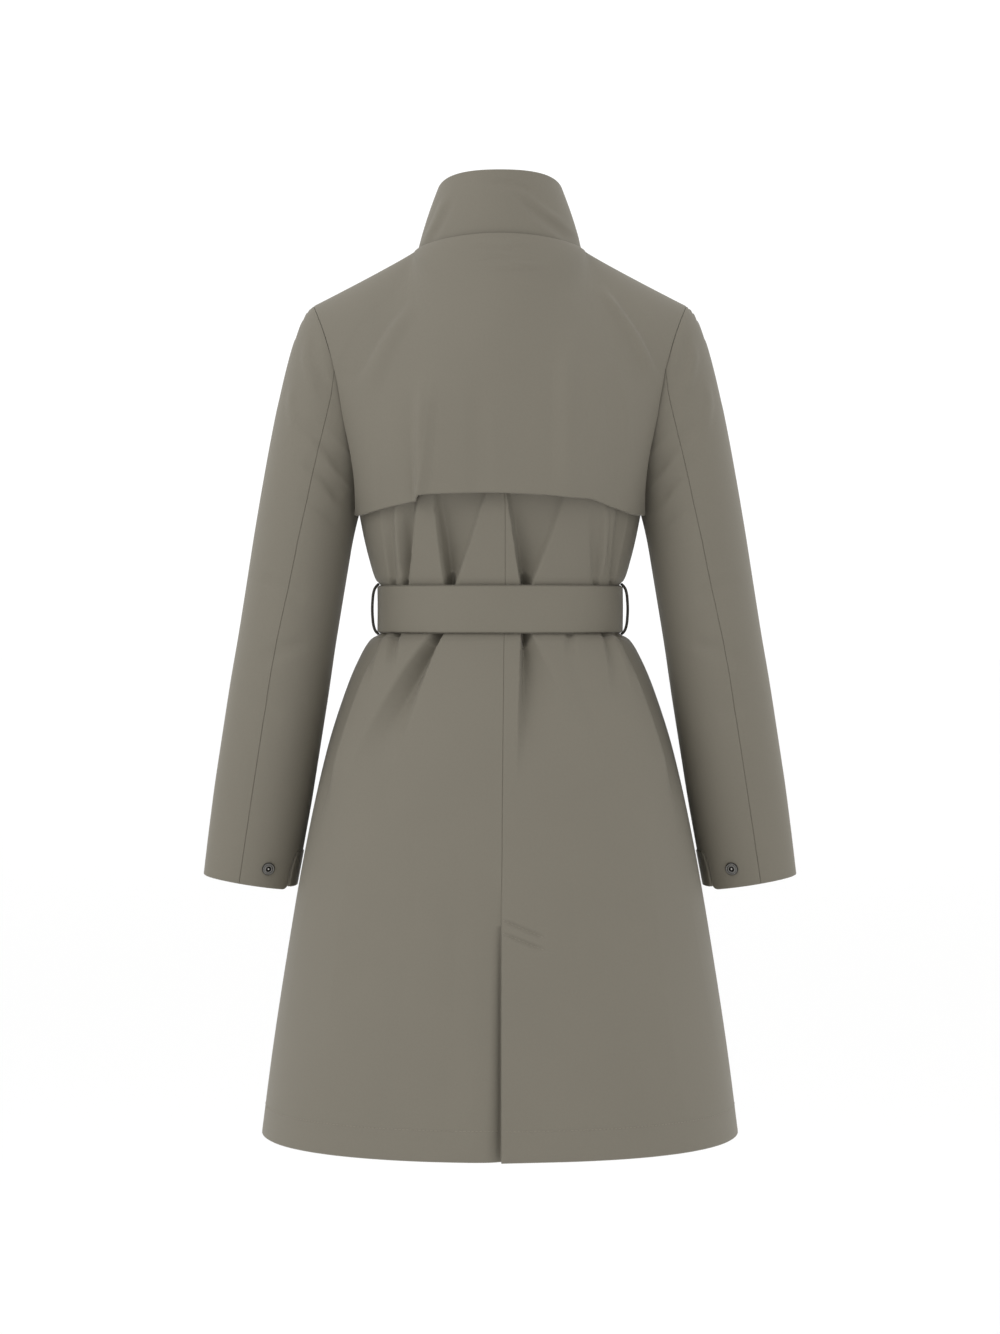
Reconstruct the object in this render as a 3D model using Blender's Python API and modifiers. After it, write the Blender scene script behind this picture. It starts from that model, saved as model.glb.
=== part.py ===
"""Reversible trench coat, worn form, hollow: two-piece back with a vent, lapped fronts, storm flap,
funnel collar, two-piece sleeves with cuff tabs and snaps, and a tie belt.

The frame: +Z up, the back faces +Y, the wearer's left is +X. The origin is the centre of the neck base,
where the shoulders carry the coat. Lengths are metres, angles are degrees unless a name says otherwise.
"""

import math

import bpy
import numpy as np
from mathutils import Matrix, Vector

for leftover in list(bpy.data.objects):
    bpy.data.objects.remove(leftover, do_unlink=True)

# Cloth
WALL = 0.0016
COLLAR_WALL = 0.0020
BELT_WALL = 0.0030
SEAM_GAP = 0.0003
LAP_CLEAR = 0.0007

# Body rings: level, half width, back depth, front depth
CHEST_LEVEL = -0.265
HEM_LEVEL = -0.880
BODY_SECTIONS = np.array((
    (HEM_LEVEL, 0.2375, 0.178, 0.172),
    (-0.800, 0.2272, 0.170, 0.165),
    (-0.700, 0.2120, 0.157, 0.153),
    (-0.600, 0.1948, 0.142, 0.139),
    (-0.500, 0.1730, 0.126, 0.125),
    (-0.440, 0.1540, 0.114, 0.113),
    (-0.410, 0.1415, 0.106, 0.106),
    (-0.3885, 0.1285, 0.0980, 0.0990),
    (-0.3830, 0.1190, 0.0910, 0.0930),
    (-0.3355, 0.1190, 0.0910, 0.0930),
    (-0.3300, 0.1240, 0.0950, 0.0970),
    (-0.310, 0.1305, 0.1010, 0.1030),
    (-0.290, 0.1355, 0.1070, 0.1085),
    (CHEST_LEVEL, 0.1405, 0.1140, 0.1140),
))
RING_SQUARENESS = 0.025

# Upper body: the blade section halfway up, then the neck and shoulder edge
BLADE_BACK_DEPTH = 0.1155
BLADE_FRONT_DEPTH = 0.1160
BLADE_CENTRE_LEVEL = -0.135
BLADE_ARMHOLE_LEVEL = -0.148
ARMHOLE_BACK_HALF = 0.1550
ARMHOLE_FRONT_HALF = 0.1500
ARMHOLE_DEPTH = 0.057
NECK_SHARE = 3.0 / 7.0
NECK_CORNER = 0.003
ROUNDING = 0.45
ARMPIT_SHARPNESS = 8
NECK_PULL_RISE = 0.62
NECK_SLOPE_SHARE = 0.68
NECK_SLOPE_BEND = 1.35
NECK_HALF = 0.0825
NECK_BACK = 0.072
NECK_FRONT = 0.082
NECK_SHIFT = 0.004
NECK_SIDE_LEVEL = -0.0045
NECK_BACK_RISE = 0.0105
NECK_FRONT_DROP = 0.0425
NECK_FRONT_CURVE = 1.5
SHOULDER_HALF = 0.1850
SHOULDER_LEVEL = -0.0595
SHOULDER_BEND = 0.94

# Fronts and vent
FRONT_LAP = 0.030
FRONT_LAP_EASE = 0.024
FRONT_LAP_MARGIN = 0.006
VENT_LAP = 0.042
VENT_TOP = -0.660
VENT_SLOPE = 0.45
VENT_EASE = 0.030
VENT_RAMP = 0.060

# Belt
BELT_TOP = -0.3365
BELT_BOTTOM = -0.3818
BELT_MIDDLE = (BELT_TOP + BELT_BOTTOM) / 2
BELT_CLEAR = 0.0006
BELT_COLUMNS = 64
BELT_END_GAP = 0.004
KNOT_HEIGHT = 0.047
KNOT_LEAN = 0.10
KNOT_CORNER = 0.62
# Knot sections: height as a share of the whole, half width, half depth
KNOT_SECTIONS = (
    (-0.50, 0.0120, 0.0085),
    (-0.43, 0.0170, 0.0110),
    (-0.22, 0.0210, 0.0125),
    (0.03, 0.0200, 0.0120),
    (0.26, 0.0225, 0.0130),
    (0.43, 0.0190, 0.0115),
    (0.50, 0.0130, 0.0085),
)
TAIL_LENGTH = 0.300
TAIL_HALF = 0.0225
TAIL_KNOT_HALF = 0.014
TAIL_SPREAD = 0.070
TAIL_FALL = 0.965
TAIL_FLATNESS = 0.5
# Hanging ends: side, start beside the centre, lean outward, stand off the fronts
TAILS = (
    ("left", 0.006, 0.16, 0.0020),
    ("right", -0.006, -0.10, 0.0060),
)
TAIL_ROWS = (0.0, 0.018, 0.055, 0.11, 0.22, 0.35, 0.50, 0.67, 0.84, 1.0)
LOOP_HALF = 0.005
LOOP_STAND = 0.0028
LOOP_CLEAR = 0.0006
LOOP_LEVELS = (-0.3925, -0.3885, -0.3830, -0.371, -0.348, -0.3355, -0.3300, -0.3265)

# Folds pinched in by the belt: face (1 back, -1 front), across at the belt, across at the far end, reach,
# depth, half width at the belt, half width at the far end. Across is positive to the wearer's left.
FOLDS_ABOVE = (
    (1, 0.108, 0.113, 0.060, 0.006, 0.009, 0.011),
    (1, 0.088, 0.076, 0.110, 0.008, 0.009, 0.018),
    (1, 0.050, 0.040, 0.130, 0.014, 0.011, 0.030),
    (1, -0.024, -0.034, 0.130, 0.014, 0.011, 0.030),
    (1, -0.090, -0.092, 0.065, 0.006, 0.009, 0.012),
    (1, -0.107, -0.115, 0.070, 0.006, 0.009, 0.012),
    (-1, 0.100, 0.108, 0.075, 0.007, 0.010, 0.014),
    (-1, 0.068, 0.074, 0.100, 0.010, 0.011, 0.020),
    (-1, -0.060, -0.066, 0.080, 0.009, 0.011, 0.020),
    (-1, -0.098, -0.104, 0.090, 0.007, 0.010, 0.014),
)
FOLDS_BELOW = (
    (1, 0.112, 0.166, 0.300, 0.006, 0.010, 0.014),
    (1, 0.094, 0.104, 0.050, 0.005, 0.009, 0.010),
    (1, 0.054, 0.122, 0.170, 0.013, 0.012, 0.028),
    (1, -0.023, -0.036, 0.160, 0.013, 0.011, 0.028),
    (1, -0.064, -0.072, 0.035, 0.004, 0.009, 0.010),
    (1, -0.097, -0.113, 0.090, 0.006, 0.009, 0.013),
    (1, -0.112, -0.168, 0.320, 0.006, 0.010, 0.014),
    (-1, 0.104, 0.140, 0.160, 0.007, 0.010, 0.016),
    (-1, 0.068, 0.090, 0.190, 0.010, 0.011, 0.022),
    (-1, -0.074, -0.102, 0.150, 0.010, 0.011, 0.022),
    (-1, -0.106, -0.146, 0.200, 0.007, 0.010, 0.016),
)

# Storm flap
FLAP_EDGE = 0.995
FLAP_CORNER_EDGE = 0.840
FLAP_EDGE_RISE = 0.420
FLAP_CLEAR = 0.0018
FLAP_TOP = 0.999
FLAP_CENTRE_RISE = 0.075
FLAP_CORNER_RISE = 0.012
FLAP_CORNER_CURVE = 2.5
FLAP_EDGE_CURVE = 6
FLAP_HANG_CURVE = 1.7
FLAP_LIFT = 0.013
FLAP_SIDE_LIFT = 0.004
FLAP_STEP_ACROSS = 0.073
FLAP_STEP_WIDTH = 0.010
FLAP_RIDGE = 0.004
FLAP_SLOPE_ACROSS = -0.082
FLAP_SLOPE_WIDTH = 0.045

# Collar
COLLAR_TOP_HALF = 0.0625
COLLAR_TOP_BACK = 0.064
COLLAR_TOP_FRONT = 0.068
COLLAR_TOP_SHIFT = -0.002
COLLAR_SIDE_LEVEL = 0.057
COLLAR_BACK_RISE = 0.0149
COLLAR_FRONT_DROP = 0.037
COLLAR_BACK_CURVE = 1.6
COLLAR_FRONT_STRAIGHT = 0.64
COLLAR_BULGE = 0.0015
COLLAR_LAP = 24.0
COLLAR_LAP_CLEAR = 0.0028
COLLAR_SEAM_GAP = 0.0008

# Sleeves: level of the ring's centre, half width, half depth, forward shift, angle of the back seam.
# Angles round a sleeve: 0 outward, 90 back, 180 inward to the body, 270 front.
SLEEVE_SECTIONS = np.array((
    (-0.295, 0.0490, 0.0640, 0.000, 89.0),
    (-0.380, 0.0487, 0.0605, 0.002, 84.0),
    (-0.450, 0.0495, 0.0560, 0.006, 82.0),
    (-0.530, 0.0495, 0.0500, 0.014, 81.5),
    (-0.585, 0.0485, 0.0455, 0.020, 81.0),
    (-0.6335, 0.0470, 0.0420, 0.026, 81.0),
))
SLEEVE_AXIS_HALF = 0.1935
SLEEVE_AXIS_LEVEL = -0.270
SLEEVE_LEAN = 0.162
ARMHOLE_BACK_SEAM = 68.0
INNER_SEAM = 205.0
SEAM_TRIM = 0.25
ARMHOLE_GAP = 0.0009
CAP_LIFT_FULL = 40.0
CAP_LIFT_FADE = 55.0
CAP_WAY = (0.62, 0.0, -0.70)
CAP_WAY_SWING = (0.26, 0.25, 0.23)
CAP_PULL_TOP = 0.080
CAP_PULL_UNDER = 0.010
CAP_FALL_TOP = 0.250
CAP_FALL_UNDER = 0.050
CUFF_SLIT_ANGLE = 147.0
CUFF_SLIT_RUN = 1.882
CUFF_CORNER = 0.006

# Cuff tab and snaps
TAB_START = 150.5
TAB_END = 264.0
TAB_LOW = 1.990
TAB_HIGH = 1.884
TAB_CLEAR = 0.0005
TAB_NOSE = 0.35
CUFF_SNAP_ANGLE = 113.5
CUFF_SNAP_RUN = 1.943
TAB_SNAP_ANGLE = 251.0
SNAP_RADIUS = 0.0065
SNAP_HEIGHT = 0.0021
SNAP_WELL_RADIUS = 0.0028
SNAP_WELL_DEPTH = 0.0011
SNAP_STEPS = 16

# Rows and columns of the walls
SKIRT_LEVELS = (
    HEM_LEVEL, -0.805, -0.730, VENT_TOP, -0.600, -0.545, -0.495, -0.450, -0.415, -0.3885,
    -0.3830, -0.3595, -0.3355, -0.3300, -0.312, -0.288,
)
UPPER_RISES = (0.0, 0.14, 0.30, 0.47, 0.64, 0.79, 0.90, 0.97, 1.0)
BACK_COLUMNS = 21
FRONT_COLUMNS = 14
LAP_COLUMNS = 3
CAP_RUNS = (0.0, 0.12, 0.27, 0.45, 0.64, 0.83)
TUBE_RUNS = (1.0, 1.2, 1.4, 1.6, 1.76, CUFF_SLIT_RUN, 1.955, 2.0)

CLOTH_COLOUR = (0.216, 0.198, 0.158, 1.0)
CLOTH_ROUGHNESS = 0.75
SNAP_COLOUR = (0.060, 0.058, 0.055, 1.0)
SNAP_ROUGHNESS = 0.35

# Steps for normals: share of a ring or rise, radians round the collar, degrees and run on a sleeve
NORMAL_STEP = 0.004
TURN_STEP = 0.01
ANGLE_STEP = 1.5
RUN_STEP = 0.01
SAME_LEVEL = 1e-6

BACK = 1
FRONT = -1
LEFT = 1
RIGHT = -1

coat = bpy.data.collections.new("reversible_trench_coat")
bpy.context.scene.collection.children.link(coat)


def finish_of(name, colour, roughness, metallic):
    """A plain Principled material for one piece."""
    material = bpy.data.materials.new(name + "_finish")
    material.use_nodes = True
    shader = material.node_tree.nodes["Principled BSDF"]
    shader.inputs["Base Color"].default_value = colour
    shader.inputs["Roughness"].default_value = roughness
    shader.inputs["Metallic"].default_value = metallic
    material.diffuse_color = colour
    return material


def smooth_step(value):
    value = min(max(value, 0.0), 1.0)
    return value * value * (3.0 - 2.0 * value)


def smooth_column(table, column, at):
    """Value of a table's column at a level, by a cubic that never overshoots its rows."""
    levels = table[:, 0]
    values = table[:, column]
    if levels[0] > levels[-1]:
        levels = levels[::-1]
        values = values[::-1]
    at = min(max(at, levels[0]), levels[-1])
    spans = np.diff(levels)
    slopes = np.diff(values) / spans
    tangents = np.zeros(len(levels))
    tangents[0] = slopes[0]
    tangents[-1] = slopes[-1]
    for k in range(1, len(levels) - 1):
        if slopes[k - 1] * slopes[k] > 0:
            tangents[k] = 2.0 * slopes[k - 1] * slopes[k] / (slopes[k - 1] + slopes[k])
    k = min(int(np.searchsorted(levels, at, side="right")) - 1, len(spans) - 1)
    s = (at - levels[k]) / spans[k]
    rise = s * s * (3.0 - 2.0 * s)
    start = s * (1.0 - s) ** 2 * spans[k]
    end = s * s * (s - 1.0) * spans[k]
    return (1.0 - rise) * values[k] + rise * values[k + 1] + start * tangents[k] + end * tangents[k + 1]


def section_at(level):
    return tuple(smooth_column(BODY_SECTIONS, k, level) for k in (1, 2, 3))


def fold_depth(face, angle, level, half, depth):
    """How far the pinched folds press the cloth in at one place on a ring."""
    total = 0.0
    belt_share = smooth_step((level - BELT_BOTTOM) / (BELT_TOP - BELT_BOTTOM))
    for folds, edge, way, weight in (
        (FOLDS_ABOVE, BELT_TOP, 1.0, belt_share),
        (FOLDS_BELOW, BELT_BOTTOM, -1.0, 1.0 - belt_share),
    ):
        if weight <= 0.0:
            continue
        for fold_face, near, far, reach, deep, half_near, half_far in folds:
            if fold_face != face:
                continue
            along = max((level - edge) * way, 0.0) / reach
            if along >= 1.0:
                continue
            middle = near + (far - near) * along
            place = math.asin(min(max(middle / half, -1.0), 1.0))
            spread = half_near + (half_far - half_near) * along
            offset = (angle - place) * (half + depth) / 2.0 / spread
            if abs(offset) < 1.0:
                total += weight * deep * (1.0 - smooth_step(along)) * (1.0 - offset * offset) ** 2
    return total


def ring_point(face, across, level, folded=True):
    """A point of the body below the chest; across runs from 0 at the centre to 1 at the left side seam."""
    half, back, front = section_at(level)
    turn = across * math.pi / 2.0
    on_face = face if abs(across) <= 1.0 else -face
    depth = back if on_face == BACK else front
    square = 1.0 + RING_SQUARENESS * math.sin(2.0 * turn) ** 2
    x = half * math.sin(turn) * square
    y = face * depth * math.cos(turn) * square
    if folded:
        side = math.asin(min(max(math.sin(turn), -1.0), 1.0))
        press = fold_depth(on_face, side, level, half, depth)
        normal_x = depth * math.sin(turn)
        normal_y = face * half * math.cos(turn)
        length = math.hypot(normal_x, normal_y)
        x -= press * normal_x / length
        y -= press * normal_y / length
    return np.array((x, y, level))


def neck_point(turn):
    """The neck seam; turn runs in radians from the centre back, positive to the left."""
    lean = math.cos(turn)
    depth = NECK_BACK if lean > 0 else NECK_FRONT
    level = NECK_SIDE_LEVEL + NECK_BACK_RISE * max(lean, 0.0) ** 2
    level -= NECK_FRONT_DROP * max(-lean, 0.0) ** NECK_FRONT_CURVE
    return np.array((NECK_HALF * math.sin(turn), NECK_SHIFT + depth * lean, level))


def blade_point(face, across):
    half = ARMHOLE_BACK_HALF if face == BACK else ARMHOLE_FRONT_HALF
    depth = BLADE_BACK_DEPTH if face == BACK else BLADE_FRONT_DEPTH
    reach = math.acos(ARMHOLE_DEPTH / depth)
    turn = across * reach
    level = BLADE_CENTRE_LEVEL + (BLADE_ARMHOLE_LEVEL - BLADE_CENTRE_LEVEL) * across * across
    return np.array((half * math.sin(turn) / math.sin(reach), face * depth * math.cos(turn), level))


def top_point(face, across):
    """The neck edge, then the shoulder seam out to the armhole."""
    side = 1.0 if across >= 0 else -1.0
    share = abs(across)
    if share <= NECK_SHARE:
        turn = share / NECK_SHARE * math.pi / 2.0
        if face == FRONT:
            turn = math.pi - turn
        return neck_point(side * turn)
    along = (share - NECK_SHARE) / (1.0 - NECK_SHARE)
    x = NECK_HALF + (SHOULDER_HALF - NECK_HALF) * along
    level = NECK_SIDE_LEVEL + (SHOULDER_LEVEL - NECK_SIDE_LEVEL) * along ** SHOULDER_BEND
    return np.array((side * x, NECK_SHIFT * (1.0 - along), level))


def slope_point(face, across):
    """A smooth line from the centre of the neck edge to the shoulder's end, without the neck's corner."""
    centre = top_point(face, 0.0)
    drop = smooth_step(abs(across) / NECK_SLOPE_SHARE)
    level = centre[2] + (SHOULDER_LEVEL - centre[2]) * abs(across) ** NECK_SLOPE_BEND
    return np.array((SHOULDER_HALF * across, centre[1] * (1.0 - drop), level))


def body_point(face, across, rise):
    """The coat's outer surface: rise below 0 is metres under the chest ring, 0 to 1 is up to the shoulder."""
    if rise <= 0.0:
        return ring_point(face, across, CHEST_LEVEL + rise)
    chest = ring_point(face, across, CHEST_LEVEL)
    blade = blade_point(face, across)
    slope = slope_point(face, across)
    neck_share = smooth_step((rise - NECK_PULL_RISE) / (1.0 - NECK_PULL_RISE))
    bulge = blade - (chest + slope) / 2.0
    swell = 4.0 * rise * (1.0 - rise)
    point = chest + (slope - chest) * rise + bulge * swell + (top_point(face, across) - slope) * neck_share
    if rise > 0.5:
        rounding = ROUNDING * smooth_step(abs(across) / NECK_SHARE)
    else:
        rounding = ROUNDING * abs(across) ** ARMPIT_SHARPNESS
    point[1] += bulge[1] * (max(swell, 0.0) ** (1.0 - rounding) - swell)
    return point


def unit(vector):
    return vector / np.linalg.norm(vector)


def body_normal(face, across, rise):
    """Outward normal of the whole coat, so pieces that meet at a seam share it."""
    if rise >= 1.0 and abs(across) > NECK_SHARE - NECK_CORNER:
        side = 1.0 if across >= 0 else -1.0
        run = SHOULDER_HALF - NECK_HALF
        fall = NECK_SIDE_LEVEL - SHOULDER_LEVEL
        return unit(np.array((side * fall, 0.0, run)))
    step = NORMAL_STEP
    low = rise - step
    high = min(rise + step, 1.0)
    along = body_point(face, across + step, rise) - body_point(face, across - step, rise)
    up = body_point(face, across, high) - body_point(face, across, low)
    return unit(np.cross(up, along) * face)


def wall_between(name, outer, inner, material, missing=()):
    """A closed wall between two grids of points, without the cells listed as missing."""
    rows, columns = len(outer), len(outer[0])
    cells = [
        (r, c) for r in range(rows - 1) for c in range(columns - 1) if (r, c) not in missing
    ]
    used = {}
    points = []

    def corner(layer, grid, r, c):
        key = (layer, r, c)
        if key not in used:
            used[key] = len(points)
            points.append(tuple(grid[r][c]))
        return used[key]

    r, c = cells[len(cells) // 2]
    first = np.asarray(outer[r][c + 1]) - outer[r][c]
    second = np.asarray(outer[r + 1][c]) - outer[r][c]
    faces_out = float(np.dot(np.cross(first, second), np.asarray(outer[r][c]) - inner[r][c])) > 0
    faces = []
    edges = {}
    for r, c in cells:
        loop = [(r, c), (r, c + 1), (r + 1, c + 1), (r + 1, c)]
        if not faces_out:
            loop.reverse()
        faces.append([corner(0, outer, *place) for place in loop])
        faces.append([corner(1, inner, *place) for place in reversed(loop)])
        for start, end in zip(loop, loop[1:] + loop[:1]):
            if (end, start) in edges:
                del edges[(end, start)]
            else:
                edges[(start, end)] = True
    for start, end in edges:
        faces.append([
            corner(0, outer, *end), corner(0, outer, *start), corner(1, inner, *start), corner(1, inner, *end),
        ])
    mesh = bpy.data.meshes.new(name)
    mesh.from_pydata(points, [], faces)
    mesh.update()
    return add_piece(name, mesh, material)


def add_piece(name, mesh, material):
    mesh.materials.clear()
    mesh.materials.append(material)
    mesh.shade_smooth()
    piece = bpy.data.objects.new(name, mesh)
    coat.objects.link(piece)
    return piece


def cloth_wall(name, points, normals, thickness=WALL, missing=()):
    outer = [[np.asarray(p) for p in row] for row in points]
    inner = [
        [p - thickness * n for p, n in zip(point_row, normal_row)]
        for point_row, normal_row in zip(outer, normals)
    ]
    material = finish_of(name, CLOTH_COLOUR, CLOTH_ROUGHNESS, 0.0)
    return wall_between(name, outer, inner, material, missing)


def body_rises():
    return [level - CHEST_LEVEL for level in SKIRT_LEVELS] + list(UPPER_RISES)


def share_at(half, across):
    """Share of the quarter ring at a distance from the centre line."""
    return math.asin(min(max(across / half, -1.0), 1.0)) / (math.pi / 2.0)


def trim_at(rise):
    """Half a seam gap as a share of the quarter ring."""
    half, back, front = section_at(CHEST_LEVEL + min(rise, 0.0))
    return SEAM_GAP / 2.0 / (min(back, front) * 1.2)


def width_at(rise):
    return section_at(CHEST_LEVEL + min(rise, 0.0))[0]


def back_panel(name, side):
    """Half of the back; the left one carries the vent's underlap, pressed in behind the right one."""
    rises = body_rises()
    points = []
    normals = []
    missing = set()
    lap_columns = LAP_COLUMNS if side == LEFT else 0
    for row, rise in enumerate(rises):
        level = CHEST_LEVEL + rise
        trim = trim_at(rise)
        below_vent = rise < 0 and level <= VENT_TOP + SAME_LEVEL
        shares = [-VENT_LAP * (1.0 - k / LAP_COLUMNS) for k in range(lap_columns)]
        shares = [share_at(width_at(rise), x) for x in shares]
        shares += list(np.linspace(trim, 1.0 - trim, BACK_COLUMNS + 1))
        if not below_vent:
            missing.update((row - 1, c) for c in range(lap_columns))
        point_row = []
        normal_row = []
        for share in shares:
            at = rise
            if share < 0.0 and below_vent and abs(level - VENT_TOP) < SAME_LEVEL:
                at = rise - VENT_SLOPE * abs(ring_point(BACK, share, level)[0])
            point = body_point(BACK, side * share, at)
            normal = body_normal(BACK, side * share, at)
            if rise >= 1.0 and share > NECK_SHARE - NECK_CORNER:
                point[1] += SEAM_GAP / 2.0
            if side == LEFT and rise < 0:
                near = 1.0 - smooth_step(point[0] / VENT_EASE)
                low = smooth_step((VENT_TOP + VENT_RAMP - level) / VENT_RAMP)
                point = point - normal * (WALL + LAP_CLEAR) * near * low
            point_row.append(point)
            normal_row.append(normal)
        points.append(point_row)
        normals.append(normal_row)
    return cloth_wall(name, points, normals, missing=missing)


def front_panel(name, side):
    """One front; the left one is pressed in where the right one laps over it."""
    points = []
    normals = []
    for rise in body_rises():
        lap = share_at(width_at(rise), FRONT_LAP)
        trim = trim_at(rise)
        shares = [-lap * (1.0 - k / LAP_COLUMNS) for k in range(LAP_COLUMNS)]
        shares += list(np.linspace(0.0, 1.0 - trim, FRONT_COLUMNS + 1))
        point_row = []
        normal_row = []
        for share in shares:
            point = body_point(FRONT, side * share, rise)
            normal = body_normal(FRONT, side * share, rise)
            if rise >= 1.0 and share > NECK_SHARE - NECK_CORNER:
                point[1] -= SEAM_GAP / 2.0
            if side == LEFT:
                edge = FRONT_LAP + FRONT_LAP_EASE + FRONT_LAP_MARGIN
                near = smooth_step((edge - point[0]) / FRONT_LAP_EASE)
                point = point - normal * (WALL + LAP_CLEAR) * near
            point_row.append(point)
            normal_row.append(normal)
        points.append(point_row)
        normals.append(normal_row)
    return cloth_wall(name, points, normals)


def flap_lift(x, hang):
    """How far the flap stands off the back; hang is 0 at its sewn top and 1 at its free edge."""
    centre = smooth_step((FLAP_STEP_ACROSS + FLAP_STEP_WIDTH / 2.0 - x) / FLAP_STEP_WIDTH)
    centre *= smooth_step((x - FLAP_SLOPE_ACROSS + FLAP_SLOPE_WIDTH / 2.0) / FLAP_SLOPE_WIDTH)
    ridge_offset = (x - FLAP_STEP_ACROSS + FLAP_STEP_WIDTH) / FLAP_STEP_WIDTH
    ridge = max(1.0 - ridge_offset * ridge_offset, 0.0) ** 2
    lift = FLAP_SIDE_LIFT + (FLAP_LIFT - FLAP_SIDE_LIFT) * centre + FLAP_RIDGE * ridge
    return lift * hang ** FLAP_HANG_CURVE


def storm_flap():
    """The loose layer over the upper back, made from the back's points moved out."""
    columns = [k / BACK_COLUMNS for k in range(1 - BACK_COLUMNS, BACK_COLUMNS)]
    columns = [-1.0] + columns + [1.0]
    points = []
    normals = []
    for fixed_rise in (0.0,) + UPPER_RISES[1:-1] + (FLAP_TOP,):
        point_row = []
        normal_row = []
        for column in columns:
            low = FLAP_CENTRE_RISE + (FLAP_CORNER_RISE - FLAP_CENTRE_RISE) * abs(column) ** FLAP_CORNER_CURVE
            rise = max(fixed_rise, low)
            edge = FLAP_CORNER_EDGE + (FLAP_EDGE - FLAP_CORNER_EDGE) * smooth_step(rise / FLAP_EDGE_RISE)
            across = column * (1.0 - (1.0 - edge) * abs(column) ** FLAP_EDGE_CURVE)
            hang = (FLAP_TOP - rise) / (FLAP_TOP - low)
            normal = body_normal(BACK, across, rise)
            point = body_point(BACK, across, rise)
            stand = FLAP_CLEAR + WALL + flap_lift(point[0], hang)
            point_row.append(point + normal * stand)
            normal_row.append(normal)
        points.append(point_row)
        normals.append(normal_row)
    return cloth_wall("storm_flap", points, normals)


def collar_point(turn, height):
    """The funnel collar's outer face; turn in radians from the centre back, height 0 to 1."""
    base = neck_point(turn) + np.array((0.0, 0.0, COLLAR_SEAM_GAP))
    lean = math.cos(turn)
    depth = COLLAR_TOP_BACK if lean > 0 else COLLAR_TOP_FRONT
    level = COLLAR_SIDE_LEVEL
    if lean > 0:
        level += COLLAR_BACK_RISE * (1.0 - (1.0 - lean) ** COLLAR_BACK_CURVE)
    else:
        straight = COLLAR_FRONT_STRAIGHT
        level += COLLAR_FRONT_DROP * (straight * lean - (1.0 - straight) * lean * lean)
    top = np.array((COLLAR_TOP_HALF * math.sin(turn), COLLAR_TOP_SHIFT + depth * lean, level))
    out = np.array((math.sin(turn), lean, 0.0))
    return base + (top - base) * height + out * COLLAR_BULGE * 4.0 * height * (1.0 - height)


def collar():
    """One band round the neck, its left end passing inside its right end at the front."""
    columns = 40
    rows = 4
    reach = 180.0 + COLLAR_LAP
    points = []
    normals = []
    for row in range(rows + 1):
        height = row / rows
        point_row = []
        normal_row = []
        for column in range(columns + 1):
            degrees = -reach + 2.0 * reach * column / columns
            turn = math.radians(degrees)
            step = TURN_STEP
            along = collar_point(turn + step, height) - collar_point(turn - step, height)
            up = collar_point(turn, min(height + step, 1.0)) - collar_point(turn, max(height - step, 0.0))
            normal = unit(np.cross(up, along))
            under = smooth_step((degrees - 180.0 + 2.0 * COLLAR_LAP) / COLLAR_LAP)
            point_row.append(collar_point(turn, height) - normal * COLLAR_LAP_CLEAR * under)
            normal_row.append(normal)
        points.append(point_row)
        normals.append(normal_row)
    return cloth_wall("collar", points, normals, COLLAR_WALL)


def tube_point(angle, level):
    """A point round the hanging sleeve below the armhole."""
    half, depth, forward = (smooth_column(SLEEVE_SECTIONS, k, level) for k in (1, 2, 3))
    centre = SLEEVE_AXIS_HALF + SLEEVE_LEAN * (SLEEVE_AXIS_LEVEL - level)
    lean = math.atan(SLEEVE_LEAN)
    turn = math.radians(angle)
    out = half * math.cos(turn)
    return np.array((
        centre + out * math.cos(lean), -forward + depth * math.sin(turn), level + out * math.sin(lean),
    ))


def armhole_point(angle):
    if angle <= 180.0:
        return body_point(BACK, 1.0, 1.0 - angle / 180.0)
    return body_point(FRONT, 1.0, angle / 180.0 - 1.0)


def cap_lift(angle):
    """The sleeve head is raised to the flap's face round the shoulder's end."""
    if angle <= 180.0:
        share = 1.0 - smooth_step((angle - CAP_LIFT_FULL) / CAP_LIFT_FADE)
        normal = body_normal(BACK, 1.0, 1.0 - angle / 180.0)
    else:
        share = 1.0 - smooth_step((360.0 - angle) / CAP_LIFT_FADE)
        normal = body_normal(FRONT, 1.0, angle / 180.0 - 1.0)
    return normal * (FLAP_CLEAR + WALL) * share


def sleeve_point(angle, run):
    """The left sleeve's outer face: run 0 to 1 is the cap, 1 to 2 the tube down to the cuff."""
    top_level = SLEEVE_SECTIONS[0, 0]
    cuff_level = SLEEVE_SECTIONS[-1, 0]
    if run >= 1.0:
        return tube_point(angle, top_level + (cuff_level - top_level) * (run - 1.0))
    round_angle = angle % 360.0
    cosine = math.cos(math.radians(round_angle))
    sine = math.sin(math.radians(round_angle))
    swing = np.array((cosine, sine, cosine))
    pull = unit(np.array(CAP_WAY) + np.array(CAP_WAY_SWING) * swing)
    share = (1.0 + cosine) / 2.0
    start = armhole_point(round_angle) + pull * ARMHOLE_GAP + cap_lift(round_angle)
    end = tube_point(round_angle, top_level)
    pull = pull * (CAP_PULL_UNDER + (CAP_PULL_TOP - CAP_PULL_UNDER) * share)
    fall = unit(np.array((SLEEVE_LEAN, 0.0, -1.0))) * (CAP_FALL_UNDER + (CAP_FALL_TOP - CAP_FALL_UNDER) * share)
    rise = run * run * (3.0 - 2.0 * run)
    return (
        start * (1.0 - rise) + end * rise
        + pull * run * (1.0 - run) ** 2 + fall * run * run * (run - 1.0)
    )


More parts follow.
